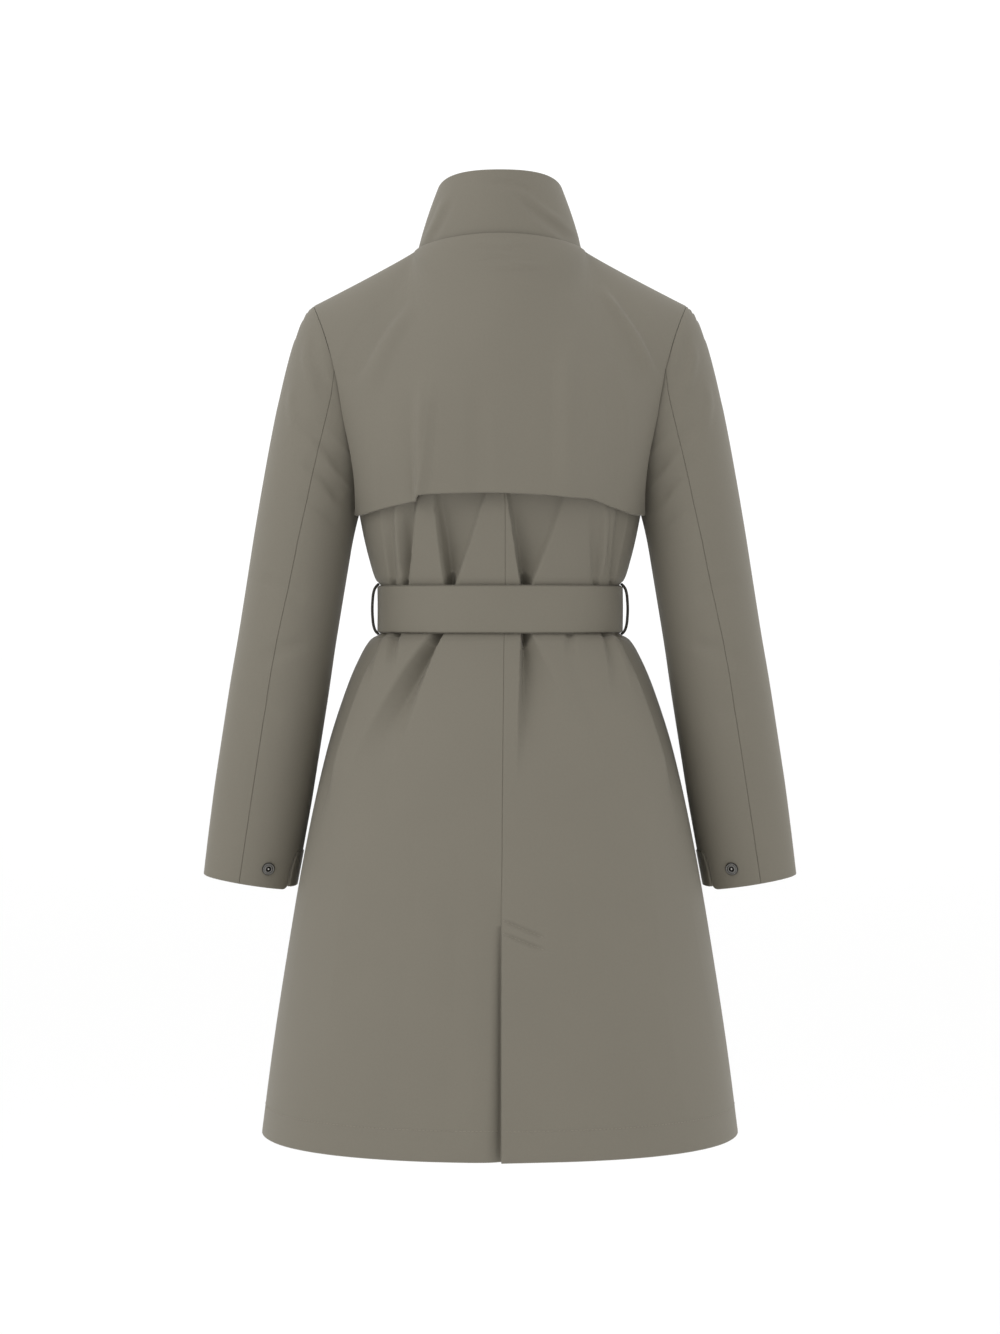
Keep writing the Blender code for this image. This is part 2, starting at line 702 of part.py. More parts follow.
def sleeve_normal(angle, run):
    turn = ANGLE_STEP
    step = RUN_STEP
    along = sleeve_point(angle + turn, run) - sleeve_point(angle - turn, run)
    down = sleeve_point(angle, min(run + step, 2.0)) - sleeve_point(angle, max(run - step, 0.0))
    return unit(np.cross(down, along))


def mirrored(point, side):
    return np.array((point[0] * side, point[1], point[2]))


def back_seam_angle(run):
    first = SLEEVE_SECTIONS[0, 4]
    if run < 1.0:
        return ARMHOLE_BACK_SEAM + (first - ARMHOLE_BACK_SEAM) * smooth_step(run)
    top_level = SLEEVE_SECTIONS[0, 0]
    cuff_level = SLEEVE_SECTIONS[-1, 0]
    return smooth_column(SLEEVE_SECTIONS, 4, top_level + (cuff_level - top_level) * (run - 1.0))


def sleeve_wall(name, side, angles_at, slit_column=None):
    """A piece of sleeve between two seams; cells past the slit column are left open at the cuff."""
    runs = CAP_RUNS + TUBE_RUNS
    points = []
    normals = []
    missing = set()
    for row, run in enumerate(runs):
        angles = angles_at(run)
        point_row = []
        normal_row = []
        for column, angle in enumerate(angles):
            at = run
            if slit_column is not None and column == slit_column and row == len(runs) - 1:
                at = run - CUFF_CORNER
            point_row.append(mirrored(sleeve_point(angle, at), side))
            normal_row.append(mirrored(sleeve_normal(angle, at), side))
        if slit_column is not None and run >= CUFF_SLIT_RUN - SAME_LEVEL:
            missing.update((row, c) for c in range(slit_column, len(angles) - 1))
        points.append(point_row)
        normals.append(normal_row)
    return cloth_wall(name, points, normals, missing=missing)


def top_sleeve(name, side):
    front_columns = 10
    back_columns = 5

    def angles_at(run):
        front = np.linspace(INNER_SEAM - 360.0 + SEAM_TRIM, 0.0, front_columns + 1)
        back = np.linspace(0.0, back_seam_angle(run) - SEAM_TRIM, back_columns + 1)
        return list(front) + list(back[1:])

    return sleeve_wall(name, side, angles_at)


def under_sleeve(name, side):
    back_columns = 8
    front_columns = 4

    def angles_at(run):
        back = np.linspace(back_seam_angle(run) + SEAM_TRIM, CUFF_SLIT_ANGLE, back_columns + 1)
        front = np.linspace(CUFF_SLIT_ANGLE, INNER_SEAM - SEAM_TRIM, front_columns + 1)
        return list(back) + list(front[1:])

    return sleeve_wall(name, side, angles_at, slit_column=back_columns)


def cuff_tab(name, side):
    """The strap across the slit, lying on the sleeve, with a rounded front end."""
    columns = 14
    rows = 4
    middle = (TAB_LOW + TAB_HIGH) / 2.0
    points = []
    normals = []
    for row in range(rows + 1):
        point_row = []
        normal_row = []
        for column in range(columns + 1):
            share = column / columns
            nose = max((share - 1.0 + TAB_NOSE / 2.0) / (TAB_NOSE / 2.0), 0.0)
            squeeze = 1.0 - TAB_NOSE * nose * nose
            run = middle + (TAB_HIGH + (TAB_LOW - TAB_HIGH) * row / rows - middle) * squeeze
            angle = TAB_START + (TAB_END - TAB_START) * share
            normal = sleeve_normal(angle, run)
            point = sleeve_point(angle, run) + normal * (TAB_CLEAR + WALL)
            point_row.append(mirrored(point, side))
            normal_row.append(mirrored(normal, side))
        points.append(point_row)
        normals.append(normal_row)
    return cloth_wall(name, points, normals)


def snap(name, side, angle, run, lift):
    """A turned ring snap, set square on the cloth; its profile runs radius, height."""
    profile = (
        (0.0, SNAP_HEIGHT - SNAP_WELL_DEPTH),
        (SNAP_WELL_RADIUS, SNAP_HEIGHT - SNAP_WELL_DEPTH),
        (SNAP_WELL_RADIUS * 1.15, SNAP_HEIGHT * 0.92),
        (SNAP_RADIUS * 0.72, SNAP_HEIGHT),
        (SNAP_RADIUS * 0.94, SNAP_HEIGHT * 0.66),
        (SNAP_RADIUS, SNAP_HEIGHT * 0.25),
        (SNAP_RADIUS * 0.97, 0.0),
        (0.0, 0.0),
    )
    mesh = bpy.data.meshes.new(name)
    edges = [(k, k + 1) for k in range(len(profile) - 1)]
    mesh.from_pydata([(r, 0.0, h) for r, h in profile], edges, [])
    piece = add_piece(name, mesh, finish_of(name, SNAP_COLOUR, SNAP_ROUGHNESS, 1.0))
    turned = piece.modifiers.new("turned", "SCREW")
    turned.angle = math.radians(360.0)
    turned.steps = SNAP_STEPS
    turned.render_steps = SNAP_STEPS
    turned.use_merge_vertices = True
    turned.merge_threshold = 0.00002
    normal = Vector(mirrored(sleeve_normal(angle, run), side))
    seat = Vector(mirrored(sleeve_point(angle, run), side)) + normal * lift
    piece.matrix_world = Matrix.Translation(seat) @ normal.to_track_quat("Z", "Y").to_matrix().to_4x4()
    return piece


def belt_point(across, level, stand):
    """A point outside the waist ring; across runs round from -2 to 2 with 0 at the centre back."""
    base = ring_point(BACK, across, BELT_MIDDLE, folded=False)
    half, back, front = section_at(BELT_MIDDLE)
    turn = across * math.pi / 2.0
    depth = back if abs(across) <= 1.0 else front
    normal = unit(np.array((depth * math.sin(turn), half * math.cos(turn), 0.0)))
    point = base + normal * stand
    point[2] = level
    return point, normal


def belt():
    """The belt round the waist, its two ends meeting behind the knot."""
    ends = 2.0 - BELT_END_GAP
    points = []
    normals = []
    for level in (BELT_BOTTOM, BELT_MIDDLE, BELT_TOP):
        row = [
            belt_point(across, level, BELT_CLEAR + BELT_WALL)
            for across in np.linspace(-ends, ends, BELT_COLUMNS + 1)
        ]
        points.append([point for point, normal in row])
        normals.append([normal for point, normal in row])
    return cloth_wall("belt", points, normals, BELT_WALL)


def belt_knot():
    """A soft tied knot on the front of the belt, lofted through its sections."""
    columns = 20
    front_face = belt_point(2.0, BELT_MIDDLE, BELT_CLEAR + BELT_WALL + SEAM_GAP)[0][1]
    deepest = max(depth for share, half, depth in KNOT_SECTIONS)
    points = []
    for share, half, depth in KNOT_SECTIONS:
        for column in range(columns):
            turn = 2.0 * math.pi * column / columns
            across = math.copysign(abs(math.cos(turn)) ** KNOT_CORNER, math.cos(turn))
            out = math.copysign(abs(math.sin(turn)) ** KNOT_CORNER, math.sin(turn))
            height = KNOT_HEIGHT * share
            x = half * across + KNOT_LEAN * height
            points.append((x, front_face - deepest + depth * out, BELT_MIDDLE + height))
    faces = [list(range(columns))[::-1]]
    for row in range(len(KNOT_SECTIONS) - 1):
        first = row * columns
        for column in range(columns):
            beside = (column + 1) % columns
            faces.append([first + column, first + beside, first + columns + beside, first + columns + column])
    faces.append([len(points) - columns + column for column in range(columns)])
    mesh = bpy.data.meshes.new("belt_knot")
    mesh.from_pydata(points, [], faces)
    mesh.update()
    return add_piece("belt_knot", mesh, finish_of("belt_knot", CLOTH_COLOUR, CLOTH_ROUGHNESS, 0.0))


def belt_tail(name, start, lean, stand):
    """A hanging belt end that lies on the fronts, made from their points moved out."""
    columns = 4
    top = BELT_MIDDLE - KNOT_HEIGHT / 2.0 - SEAM_GAP
    points = []
    normals = []
    for share_down in TAIL_ROWS:
        along = TAIL_LENGTH * share_down
        half = TAIL_KNOT_HALF + (TAIL_HALF - TAIL_KNOT_HALF) * smooth_step(along / TAIL_SPREAD)
        level = top - along * TAIL_FALL
        point_row = []
        normal_row = []
        for column in range(columns + 1):
            x = start + lean * along + half * (2.0 * column / columns - 1.0)
            share = share_at(section_at(level)[0], x)
            point = ring_point(FRONT, share, level, folded=False)
            normal = unit(np.array((point[0] * TAIL_FLATNESS, point[1], 0.0)))
            point_row.append(point + normal * (stand + BELT_WALL))
            normal_row.append(normal)
        points.append(point_row)
        normals.append(normal_row)
    return cloth_wall(name, points, normals, BELT_WALL)


def belt_loop(name, side):
    """A narrow strip at the side seam that stands off the belt and is sewn above and below it."""
    stand = BELT_CLEAR + BELT_WALL + LOOP_STAND
    points = []
    normals = []
    for level in LOOP_LEVELS:
        x = max(belt_point(1.0, level, stand)[0][0], section_at(level)[0] + LOOP_CLEAR)
        point_row = []
        for column in range(3):
            y = LOOP_HALF * (column - 1)
            point_row.append(np.array(((x + WALL) * side, y, level)))
        points.append(point_row)
        normals.append([np.array((float(side), 0.0, 0.0))] * 3)
    return cloth_wall(name, points, normals)


back_panel("back_left", LEFT)
back_panel("back_right", RIGHT)
front_panel("front_left", LEFT)
front_panel("front_right", RIGHT)
storm_flap()
collar()
for side_name, coat_side in (("left", LEFT), ("right", RIGHT)):
    top_sleeve("sleeve_top_" + side_name, coat_side)
    under_sleeve("sleeve_under_" + side_name, coat_side)
    cuff_tab("cuff_tab_" + side_name, coat_side)
    snap("cuff_snap_" + side_name, coat_side, CUFF_SNAP_ANGLE, CUFF_SNAP_RUN, SEAM_GAP)
    tab_lift = TAB_CLEAR + WALL + SEAM_GAP
    snap("tab_snap_" + side_name, coat_side, TAB_SNAP_ANGLE, (TAB_LOW + TAB_HIGH) / 2.0, tab_lift)
    belt_loop("belt_loop_" + side_name, coat_side)
belt()
belt_knot()
for side_name, tail_start, tail_lean, tail_stand in TAILS:
    belt_tail("belt_tail_" + side_name, tail_start, tail_lean, tail_stand)
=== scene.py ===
"""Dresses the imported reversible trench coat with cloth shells, stitches, snaps, belt and stage.

The frame: +Z up, the back faces +Y, the wearer's left is +X, the origin is the centre of the neck base.
Lengths are metres. Angles round a sleeve: 0 outward, 90 back, 180 inward to the body, 270 front.
"""

import math

import bpy
import numpy as np
from bpy.props import FloatProperty, FloatVectorProperty, PointerProperty
from bpy.types import Operator, Panel, PropertyGroup
from mathutils import Matrix, Vector


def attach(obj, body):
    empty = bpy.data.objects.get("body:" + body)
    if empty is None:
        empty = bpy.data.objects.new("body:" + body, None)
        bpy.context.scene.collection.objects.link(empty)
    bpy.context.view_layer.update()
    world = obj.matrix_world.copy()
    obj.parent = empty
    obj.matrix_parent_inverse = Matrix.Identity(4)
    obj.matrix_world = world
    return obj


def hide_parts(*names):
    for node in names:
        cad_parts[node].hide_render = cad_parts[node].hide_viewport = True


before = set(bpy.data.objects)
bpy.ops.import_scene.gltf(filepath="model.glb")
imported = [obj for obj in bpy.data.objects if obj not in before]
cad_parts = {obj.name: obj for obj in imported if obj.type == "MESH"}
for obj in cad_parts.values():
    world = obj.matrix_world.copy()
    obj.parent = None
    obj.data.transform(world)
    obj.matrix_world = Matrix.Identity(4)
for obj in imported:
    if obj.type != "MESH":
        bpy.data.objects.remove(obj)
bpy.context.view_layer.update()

bl_info = {
    "name": "Reversible trench coat",
    "version": (1, 0, 0),
    "blender": (4, 5, 0),
    "location": "View3D > Sidebar > Coat",
    "description": "Builds the coat's cloth, trims and stage around its packed solids",
    "category": "Object",
}

BACK = 1
FRONT = -1
LEFT = 1
RIGHT = -1
SIDES = (("left", LEFT), ("right", RIGHT))

# Body rings: level, half width, back depth, front depth
CHEST_LEVEL = -0.265
HEM_LEVEL = -0.880
BODY_SECTIONS = np.array((
    (HEM_LEVEL, 0.2375, 0.178, 0.172),
    (-0.800, 0.2272, 0.170, 0.165),
    (-0.700, 0.2120, 0.157, 0.153),
    (-0.600, 0.1948, 0.142, 0.139),
    (-0.500, 0.1730, 0.126, 0.125),
    (-0.440, 0.1540, 0.114, 0.113),
    (-0.410, 0.1415, 0.106, 0.106),
    (-0.3885, 0.1285, 0.0980, 0.0990),
    (-0.3830, 0.1190, 0.0910, 0.0930),
    (-0.3355, 0.1190, 0.0910, 0.0930),
    (-0.3300, 0.1240, 0.0950, 0.0970),
    (-0.310, 0.1305, 0.1010, 0.1030),
    (-0.290, 0.1355, 0.1070, 0.1085),
    (CHEST_LEVEL, 0.1405, 0.1140, 0.1140),
))
RING_SQUARENESS = 0.025

# Upper body
BLADE_BACK_DEPTH = 0.1155
BLADE_FRONT_DEPTH = 0.1160
BLADE_CENTRE_LEVEL = -0.135
BLADE_ARMHOLE_LEVEL = -0.148
ARMHOLE_BACK_HALF = 0.1550
ARMHOLE_FRONT_HALF = 0.1500
ARMHOLE_DEPTH = 0.057
NECK_SHARE = 3.0 / 7.0
NECK_CORNER = 0.003
ROUNDING = 0.45
ARMPIT_SHARPNESS = 8
NECK_PULL_RISE = 0.62
NECK_SLOPE_SHARE = 0.68
NECK_SLOPE_BEND = 1.35
NECK_HALF = 0.0825
NECK_BACK = 0.072
NECK_FRONT = 0.082
NECK_SHIFT = 0.004
NECK_SIDE_LEVEL = -0.0045
NECK_BACK_RISE = 0.0105
NECK_FRONT_DROP = 0.0425
NECK_FRONT_CURVE = 1.5
SHOULDER_HALF = 0.1850
SHOULDER_LEVEL = -0.0595
SHOULDER_BEND = 0.94
NECK_EASE = 1.1
NECK_EASE_CURVE = 0.85
NECK_EASE_WIDEST = 0.30
NECK_EASE_PLACES = np.linspace(-1.0, 1.0, 9)
NECK_EASE_WEIGHTS = (1.0 + np.cos(np.pi * NECK_EASE_PLACES * 0.9)) / np.sum(
    1.0 + np.cos(np.pi * NECK_EASE_PLACES * 0.9))

# Fronts, centre back seam and vent
LAP_CLEAR = 0.0007
FRONT_LAP = 0.030
FRONT_LAP_EASE = 0.024
FRONT_LAP_MARGIN = 0.006
# Share of the neck edge from which the front rises to meet the flap at the shoulder
FRONT_LIFT_START = 0.5
VENT_LAP = 0.042
VENT_TOP = -0.660
VENT_EASE = 0.030
VENT_RAMP = 0.060
VENT_OPENING = 0.0045
VENT_OPENING_WIDTH = 0.050
VENT_DIP = 0.0050
VENT_DIP_WIDTH = 0.008
VENT_DIP_SPREAD = 0.006
VENT_DIP_CURVE = 0.3
VENT_OPENING_CURVE = 1.3
SEAM_GAP = 0.0003
BACK_SEAM_FADE = 0.3
# Share of a panel beside its centre edge that has the closest columns, and the lengths of both parts
CENTRE_SHARE = 0.18
CENTRE_LENGTH = 0.048
SIDE_LENGTH = 0.21
# Rows of a body panel: level where each run of rows ends, places in it
BODY_ROWS = (
    (-0.690, 24),
    (-0.648, 36),
    (-0.600, 7),
    (-0.450, 34),
    (-0.392, 20),
    (-0.326, 27),
    (CHEST_LEVEL, 17),
)
SHOULDER_ROWS = 62
SHOULDER_ROW_CURVE = 1.25
BACK_COLUMNS = 150
VENT_LAP_COLUMNS = 16
FRONT_COLUMNS = 120
FRONT_LAP_COLUMNS = 12
LEVEL_MARGIN = 1e-6

# Centre back seam: level, across
BACK_SEAM = np.array((
    (HEM_LEVEL, -0.0015),
    (-0.660, -0.0015),
    (-0.400, -0.0035),
    (-0.330, -0.0048),
    (CHEST_LEVEL, -0.0048),
))

# Belt
BELT_TOP = -0.3365
BELT_BOTTOM = -0.3818
BELT_MIDDLE = (BELT_TOP + BELT_BOTTOM) / 2
BELT_CLEAR = 0.0006
BELT_WALL = 0.0030
BELT_END_GAP = 0.004
BELT_WIDTH = 0.045
BELT_COLUMNS = 260
BELT_ROWS = 16
# Slack of the belt: height, waves round and up, start of the waves
BELT_SAG = 0.00035
BELT_SAG_ROUND = 5.1
BELT_SAG_UP = 3.0
BELT_SAG_START = 0.6
# Distance from the belt over which creases rise to their height
BELT_EASE = 0.010
KNOT_HEIGHT = 0.047
KNOT_LEAN = 0.10
KNOT_CORNER = 0.62
KNOT_COLUMNS = 72
KNOT_ROWS = 60
# Turns of the knot: waves up and across, then depth and width of the groove between two turns
KNOT_WRAP_UP = 9.0
KNOT_WRAP_ACROSS = 2.2
KNOT_GROOVE = 0.10
KNOT_GROOVE_WIDTH = 0.6
# Slanting fold of the knot: depth, place across, width
KNOT_FOLD = 0.04
KNOT_FOLD_ACROSS = 0.3
KNOT_FOLD_WIDTH = 0.5
TIE_SOFTNESS = 0.2
KNOT_WEAVE_RADIUS = 0.015
# Knot rings: share of the height, half width, half depth
KNOT_SECTIONS = np.array((
    (-0.50, 0.0120, 0.0085),
    (-0.43, 0.0170, 0.0110),
    (-0.22, 0.0210, 0.0125),
    (0.03, 0.0200, 0.0120),
    (0.26, 0.0225, 0.0130),
    (0.43, 0.0190, 0.0115),
    (0.50, 0.0130, 0.0085),
))
TAIL_LENGTH = 0.300
TAIL_HALF = 0.0225
TAIL_KNOT_HALF = 0.014
TAIL_SPREAD = 0.070
TAIL_FALL = 0.965
TAIL_FLATNESS = 0.5
TAIL_ROWS = 110
TAIL_COLUMNS = 30
TAIL_CLEAR = 0.0014
# Gather under the knot: depth, place across, width, reach down
TAIL_GATHER = 0.0016
TAIL_GATHER_ACROSS = 0.1
TAIL_GATHER_WIDTH = 0.5
TAIL_GATHER_REACH = 0.12
# Wave of a hanging end: height, waves down, shift by the end's start, distance over which it rises
TAIL_WAVE = 0.0012
TAIL_WAVE_DOWN = 38.0
TAIL_WAVE_SHIFT = 300.0
TAIL_WAVE_EASE = 0.08
# Hanging ends: side, start beside the centre, lean outward, stand off the fronts
TAILS = (
    ("left", 0.006, 0.16, 0.0020),
    ("right", -0.006, -0.10, 0.0060),
)
LOOP_HALF = 0.005
LOOP_WALL = 0.0024
LOOP_ROWS = 60
LOOP_COLUMNS = 9
# Belt loop line: level, distance out of the waist's side
LOOP_LINE = np.array((
    (-0.3850, 0.0030),
    (-0.3828, 0.0056),
    (-0.3780, 0.0080),
    (-0.3710, 0.0093),
    (-0.3590, 0.0099),
    (-0.3470, 0.0093),
    (-0.3400, 0.0080),
    (-0.3355, 0.0056),
    (-0.3330, 0.0030),
))

# Folds pinched in by the belt: face, across at the belt, across at the far end, bend of the line, reach,
# depth, share of the depth at the belt, half width on the wearer's left at the belt and at the far end,
# the same on the right, softness, shape of the flanks (1 straight, less a flat-bottomed slot).
FOLDS_ABOVE = (
    (1, 0.1030, 0.1100, 1.0, 0.110, 0.0060, 0.6, 0.0060, 0.014, 0.0060, 0.014, 0.20, 0.85),
    (1, 0.0900, 0.0800, 1.0, 0.150, 0.0110, 0.7, 0.0050, 0.030, 0.0030, 0.008, 0.15, 0.85),
    (1, 0.0495, 0.0650, 1.0, 0.150, 0.0170, 0.9, 0.0030, 0.007, 0.0060, 0.068, 0.06, 0.42),
    (1, -0.0235, -0.0053, 1.0, 0.150, 0.0170, 0.9, 0.0030, 0.007, 0.0060, 0.077, 0.06, 0.42),
    (1, -0.0915, -0.0930, 1.0, 0.100, 0.0050, 0.6, 0.0050, 0.014, 0.0050, 0.020, 0.20, 0.85),
    (1, -0.1075, -0.1190, 1.0, 0.110, 0.0060, 0.6, 0.0040, 0.010, 0.0060, 0.024, 0.15, 0.85),
    (-1, 0.1000, 0.1080, 1.0, 0.110, 0.0070, 0.6, 0.0050, 0.012, 0.0070, 0.024, 0.20, 0.85),
    (-1, 0.0680, 0.0780, 1.0, 0.180, 0.0110, 0.4, 0.0040, 0.080, 0.0035, 0.012, 0.10, 0.85),
    (-1, -0.0600, -0.0740, 1.0, 0.170, 0.0110, 0.4, 0.0035, 0.012, 0.0040, 0.085, 0.10, 0.85),
    (-1, -0.0980, -0.1040, 1.0, 0.120, 0.0070, 0.6, 0.0070, 0.026, 0.0040, 0.010, 0.20, 0.85),
)
FOLDS_BELOW = (
    (1, 0.1130, 0.1250, 1.0, 0.060, 0.0050, 0.7, 0.0060, 0.010, 0.0060, 0.008, 0.20, 0.85),
    (1, 0.0985, 0.1025, 1.0, 0.045, 0.0060, 0.9, 0.0060, 0.007, 0.0060, 0.007, 0.15, 0.85),
    (1, 0.0580, 0.1330, 0.85, 0.165, 0.0160, 0.8, 0.0070, 0.030, 0.0045, 0.026, 0.10, 0.85),
    (1, -0.0235, -0.0250, 1.0, 0.160, 0.0150, 0.9, 0.0030, 0.009, 0.0060, 0.080, 0.06, 0.85),
    (1, -0.0660, -0.0690, 1.0, 0.028, 0.0030, 0.9, 0.0050, 0.008, 0.0050, 0.008, 0.20, 0.85),
    (1, -0.0995, -0.1130, 1.0, 0.080, 0.0048, 0.8, 0.0045, 0.012, 0.0060, 0.020, 0.15, 0.85),
    (1, -0.1140, -0.1260, 1.0, 0.050, 0.0040, 0.8, 0.0060, 0.010, 0.0060, 0.010, 0.20, 0.85),
    (-1, 0.1040, 0.1400, 0.9, 0.170, 0.0070, 0.7, 0.0070, 0.030, 0.0050, 0.012, 0.15, 0.85),
    (-1, 0.0680, 0.0900, 0.9, 0.210, 0.0110, 0.6, 0.0060, 0.055, 0.0040, 0.014, 0.10, 0.85),
    (-1, -0.0740, -0.1020, 0.9, 0.170, 0.0110, 0.6, 0.0040, 0.012, 0.0060, 0.052, 0.10, 0.85),
    (-1, -0.1060, -0.1460, 0.9, 0.200, 0.0070, 0.7, 0.0050, 0.012, 0.0070, 0.030, 0.15, 0.85),
)

# Where along its reach a fold is deepest
FOLD_PEAK = 0.12
# Flanks of the creases that aren't at the belt
CREASE_SHAPE = 0.85
FLAP_CREASE_SHAPE = 1.5
# Softness that a fold gains on its way from the belt
FOLD_SOFTENING = 0.35
# Height above the chest ring that a whole rise counts as for the folds
CHEST_RISE = 0.27
# Share of a panel beside its side seam over which creases fade
SIDE_FADE = 0.1
# Creases: squeeze of their round ends, share of the length over which they rise, and where they start from
CREASE_END_SQUEEZE = 0.8
CREASE_RISE = 0.35
CREASE_START = 0.35
# Sine of the turn over which a sleeve's creases fade towards its sides
SLEEVE_FACE_FADE = 0.4

# Creases laid on a face: start across, start level, end across, end level, bow, height (below 0 a
# trough), half width at the start, half width at the end, skew, softness.
BACK_CREASES = (
    (0.1070, -0.380, 0.1630, -0.540, 0.0045, 0.0085, 0.026, 0.028, 0.80, 0.10),
    (-0.1070, -0.380, -0.1630, -0.540, -0.0045, 0.0085, 0.026, 0.028, -0.80, 0.10),
    (0.1150, -0.380, 0.1710, -0.530, 0.0045, -0.0026, 0.008, 0.010, -0.30, 0.25),
    (-0.1150, -0.380, -0.1710, -0.530, -0.0045, -0.0026, 0.008, 0.010, 0.30, 0.25),
    (0.152, -0.560, 0.190, -0.800, 0.006, -0.0009, 0.018, 0.030, 0.0, 0.6),
    (0.060, -0.600, 0.083, -0.870, -0.004, 0.0009, 0.026, 0.040, 0.0, 0.7),
    (-0.085, -0.560, -0.130, -0.870, 0.006, 0.0010, 0.026, 0.042, 0.0, 0.7),
    (-0.160, -0.570, -0.205, -0.860, 0.004, -0.0008, 0.020, 0.030, 0.0, 0.6),
    (0.099, -0.268, 0.097, -0.318, 0.0, 0.0030, 0.006, 0.005, 0.0, 0.4),
    (-0.103, -0.262, -0.101, -0.320, 0.0, 0.0024, 0.005, 0.004, 0.0, 0.3),
)
FRONT_CREASES = (
    (0.110, -0.560, 0.150, -0.840, 0.006, 0.0018, 0.024, 0.040, 0.0, 0.7),
    (-0.075, -0.590, -0.110, -0.870, -0.005, 0.0018, 0.026, 0.040, 0.0, 0.7),
    (0.060, -0.090, 0.120, -0.150, 0.006, -0.0026, 0.012, 0.018, 0.0, 0.5),
    (-0.055, -0.085, -0.118, -0.160, -0.006, -0.0026, 0.012, 0.018, 0.0, 0.5),
    (0.105, -0.180, 0.075, -0.260, 0.004, -0.0018, 0.012, 0.020, 0.0, 0.6),
    (-0.110, -0.170, -0.080, -0.250, -0.004, -0.0020, 0.012, 0.020, 0.0, 0.6),
)
FLAP_CREASES = (
    (0.0745, -0.150, 0.0755, -0.262, 0.0, 0.0046, 0.014, 0.0090, 0.3, 0.25),
    (0.097, -0.058, 0.143, -0.126, 0.004, -0.0050, 0.014, 0.020, 0.0, 0.40),
    (0.088, -0.070, 0.128, -0.150, 0.004, 0.0030, 0.013, 0.018, 0.0, 0.45),
    (-0.101, -0.050, -0.146, -0.128, -0.004, 0.0036, 0.008, 0.012, 0.0, 0.30),
    (-0.112, -0.052, -0.157, -0.124, -0.004, -0.0034, 0.010, 0.013, 0.0, 0.40),
    (-0.092, -0.062, -0.132, -0.140, -0.004, -0.0028, 0.013, 0.018, 0.0, 0.45),
    (-0.0640, -0.105, -0.0650, -0.262, 0.0, 0.0030, 0.016, 0.022, 0.0, 0.5),
    (-0.108, -0.140, -0.108, -0.262, 0.0, -0.0034, 0.014, 0.022, 0.0, 0.5),
    (0.018, -0.0270, -0.041, -0.0265, 0.0008, 0.0016, 0.003, 0.003, 0.0, 0.4),
    (0.024, -0.0050, -0.025, -0.0045, 0.0006, 0.0014, 0.003, 0.003, 0.0, 0.4),
    (0.020, -0.0160, -0.010, -0.0165, 0.0004, 0.0010, 0.003, 0.003, 0.0, 0.4),
    (0.118, -0.175, 0.105, -0.262, 0.0, -0.0016, 0.012, 0.018, 0.0, 0.6),
    (0.020, -0.150, 0.018, -0.255, 0.0, -0.0012, 0.018, 0.024, 0.0, 0.7),
)
COLLAR_CREASES = (
    (0.0740, 0.004, 0.0540, 0.045, 0.001, 0.0016, 0.005, 0.006, 0.0, 0.4),
    (0.0660, 0.006, 0.0480, 0.042, 0.001, -0.0012, 0.006, 0.006, 0.0, 0.5),
    (-0.0200, 0.044, -0.0750, 0.004, 0.003, -0.0020, 0.006, 0.008, 0.0, 0.4),
    (-0.0160, 0.053, -0.0620, 0.022, 0.003, 0.0012, 0.006, 0.006, 0.0, 0.5),
    (0.0100, 0.058, -0.0300, 0.050, -0.002, -0.0010, 0.006, 0.006, 0.0, 0.5),
)
SLEEVE_BACK_CREASES = (
    (0.192, -0.100, 0.180, -0.150, 0.003, 0.0018, 0.006, 0.007, 0.0, 0.5),
    (0.205, -0.140, 0.200, -0.182, 0.003, 0.0016, 0.006, 0.007, 0.0, 0.5),
    (0.184, -0.088, 0.170, -0.140, 0.003, -0.0014, 0.006, 0.007, 0.0, 0.5),
    (0.196, -0.178, 0.152, -0.226, -0.004, -0.0019, 0.009, 0.012, 0.3, 0.50),
    (0.196, -0.212, 0.156, -0.252, -0.004, -0.0022, 0.009, 0.012, 0.3, 0.50),
    (0.200, -0.248, 0.160, -0.274, -0.003, -0.0013, 0.009, 0.012, 0.3, 0.50),
    (0.238, -0.330, 0.190, -0.352, -0.003, -0.0016, 0.010, 0.014, 0.0, 0.6),
    (0.188, -0.392, 0.236, -0.412, 0.003, -0.0016, 0.010, 0.014, 0.0, 0.6),
    (0.262, -0.440, 0.214, -0.470, -0.003, -0.0012, 0.010, 0.014, 0.0, 0.6),
)
SLEEVE_FRONT_CREASES = (
    (0.236, -0.340, 0.178, -0.322, 0.003, -0.0030, 0.009, 0.012, 0.0, 0.45),
    (0.240, -0.372, 0.186, -0.362, 0.003, -0.0034, 0.009, 0.012, 0.0, 0.45),
    (0.244, -0.406, 0.196, -0.404, 0.002, -0.0026, 0.009, 0.012, 0.0, 0.45),
    (0.196, -0.190, 0.158, -0.232, -0.004, -0.0026, 0.010, 0.012, 0.0, 0.5),
    (0.206, -0.230, 0.164, -0.262, -0.004, -0.0020, 0.010, 0.012, 0.0, 0.5),
    (0.250, -0.450, 0.206, -0.440, 0.003, -0.0018, 0.010, 0.014, 0.0, 0.6),
)

# Storm flap
FLAP_EDGE = 0.9985
FLAP_CORNER_EDGE = 0.840
FLAP_EDGE_CURVE = 6
FLAP_EDGE_RISE = 0.420
FLAP_CLEAR = 0.0018
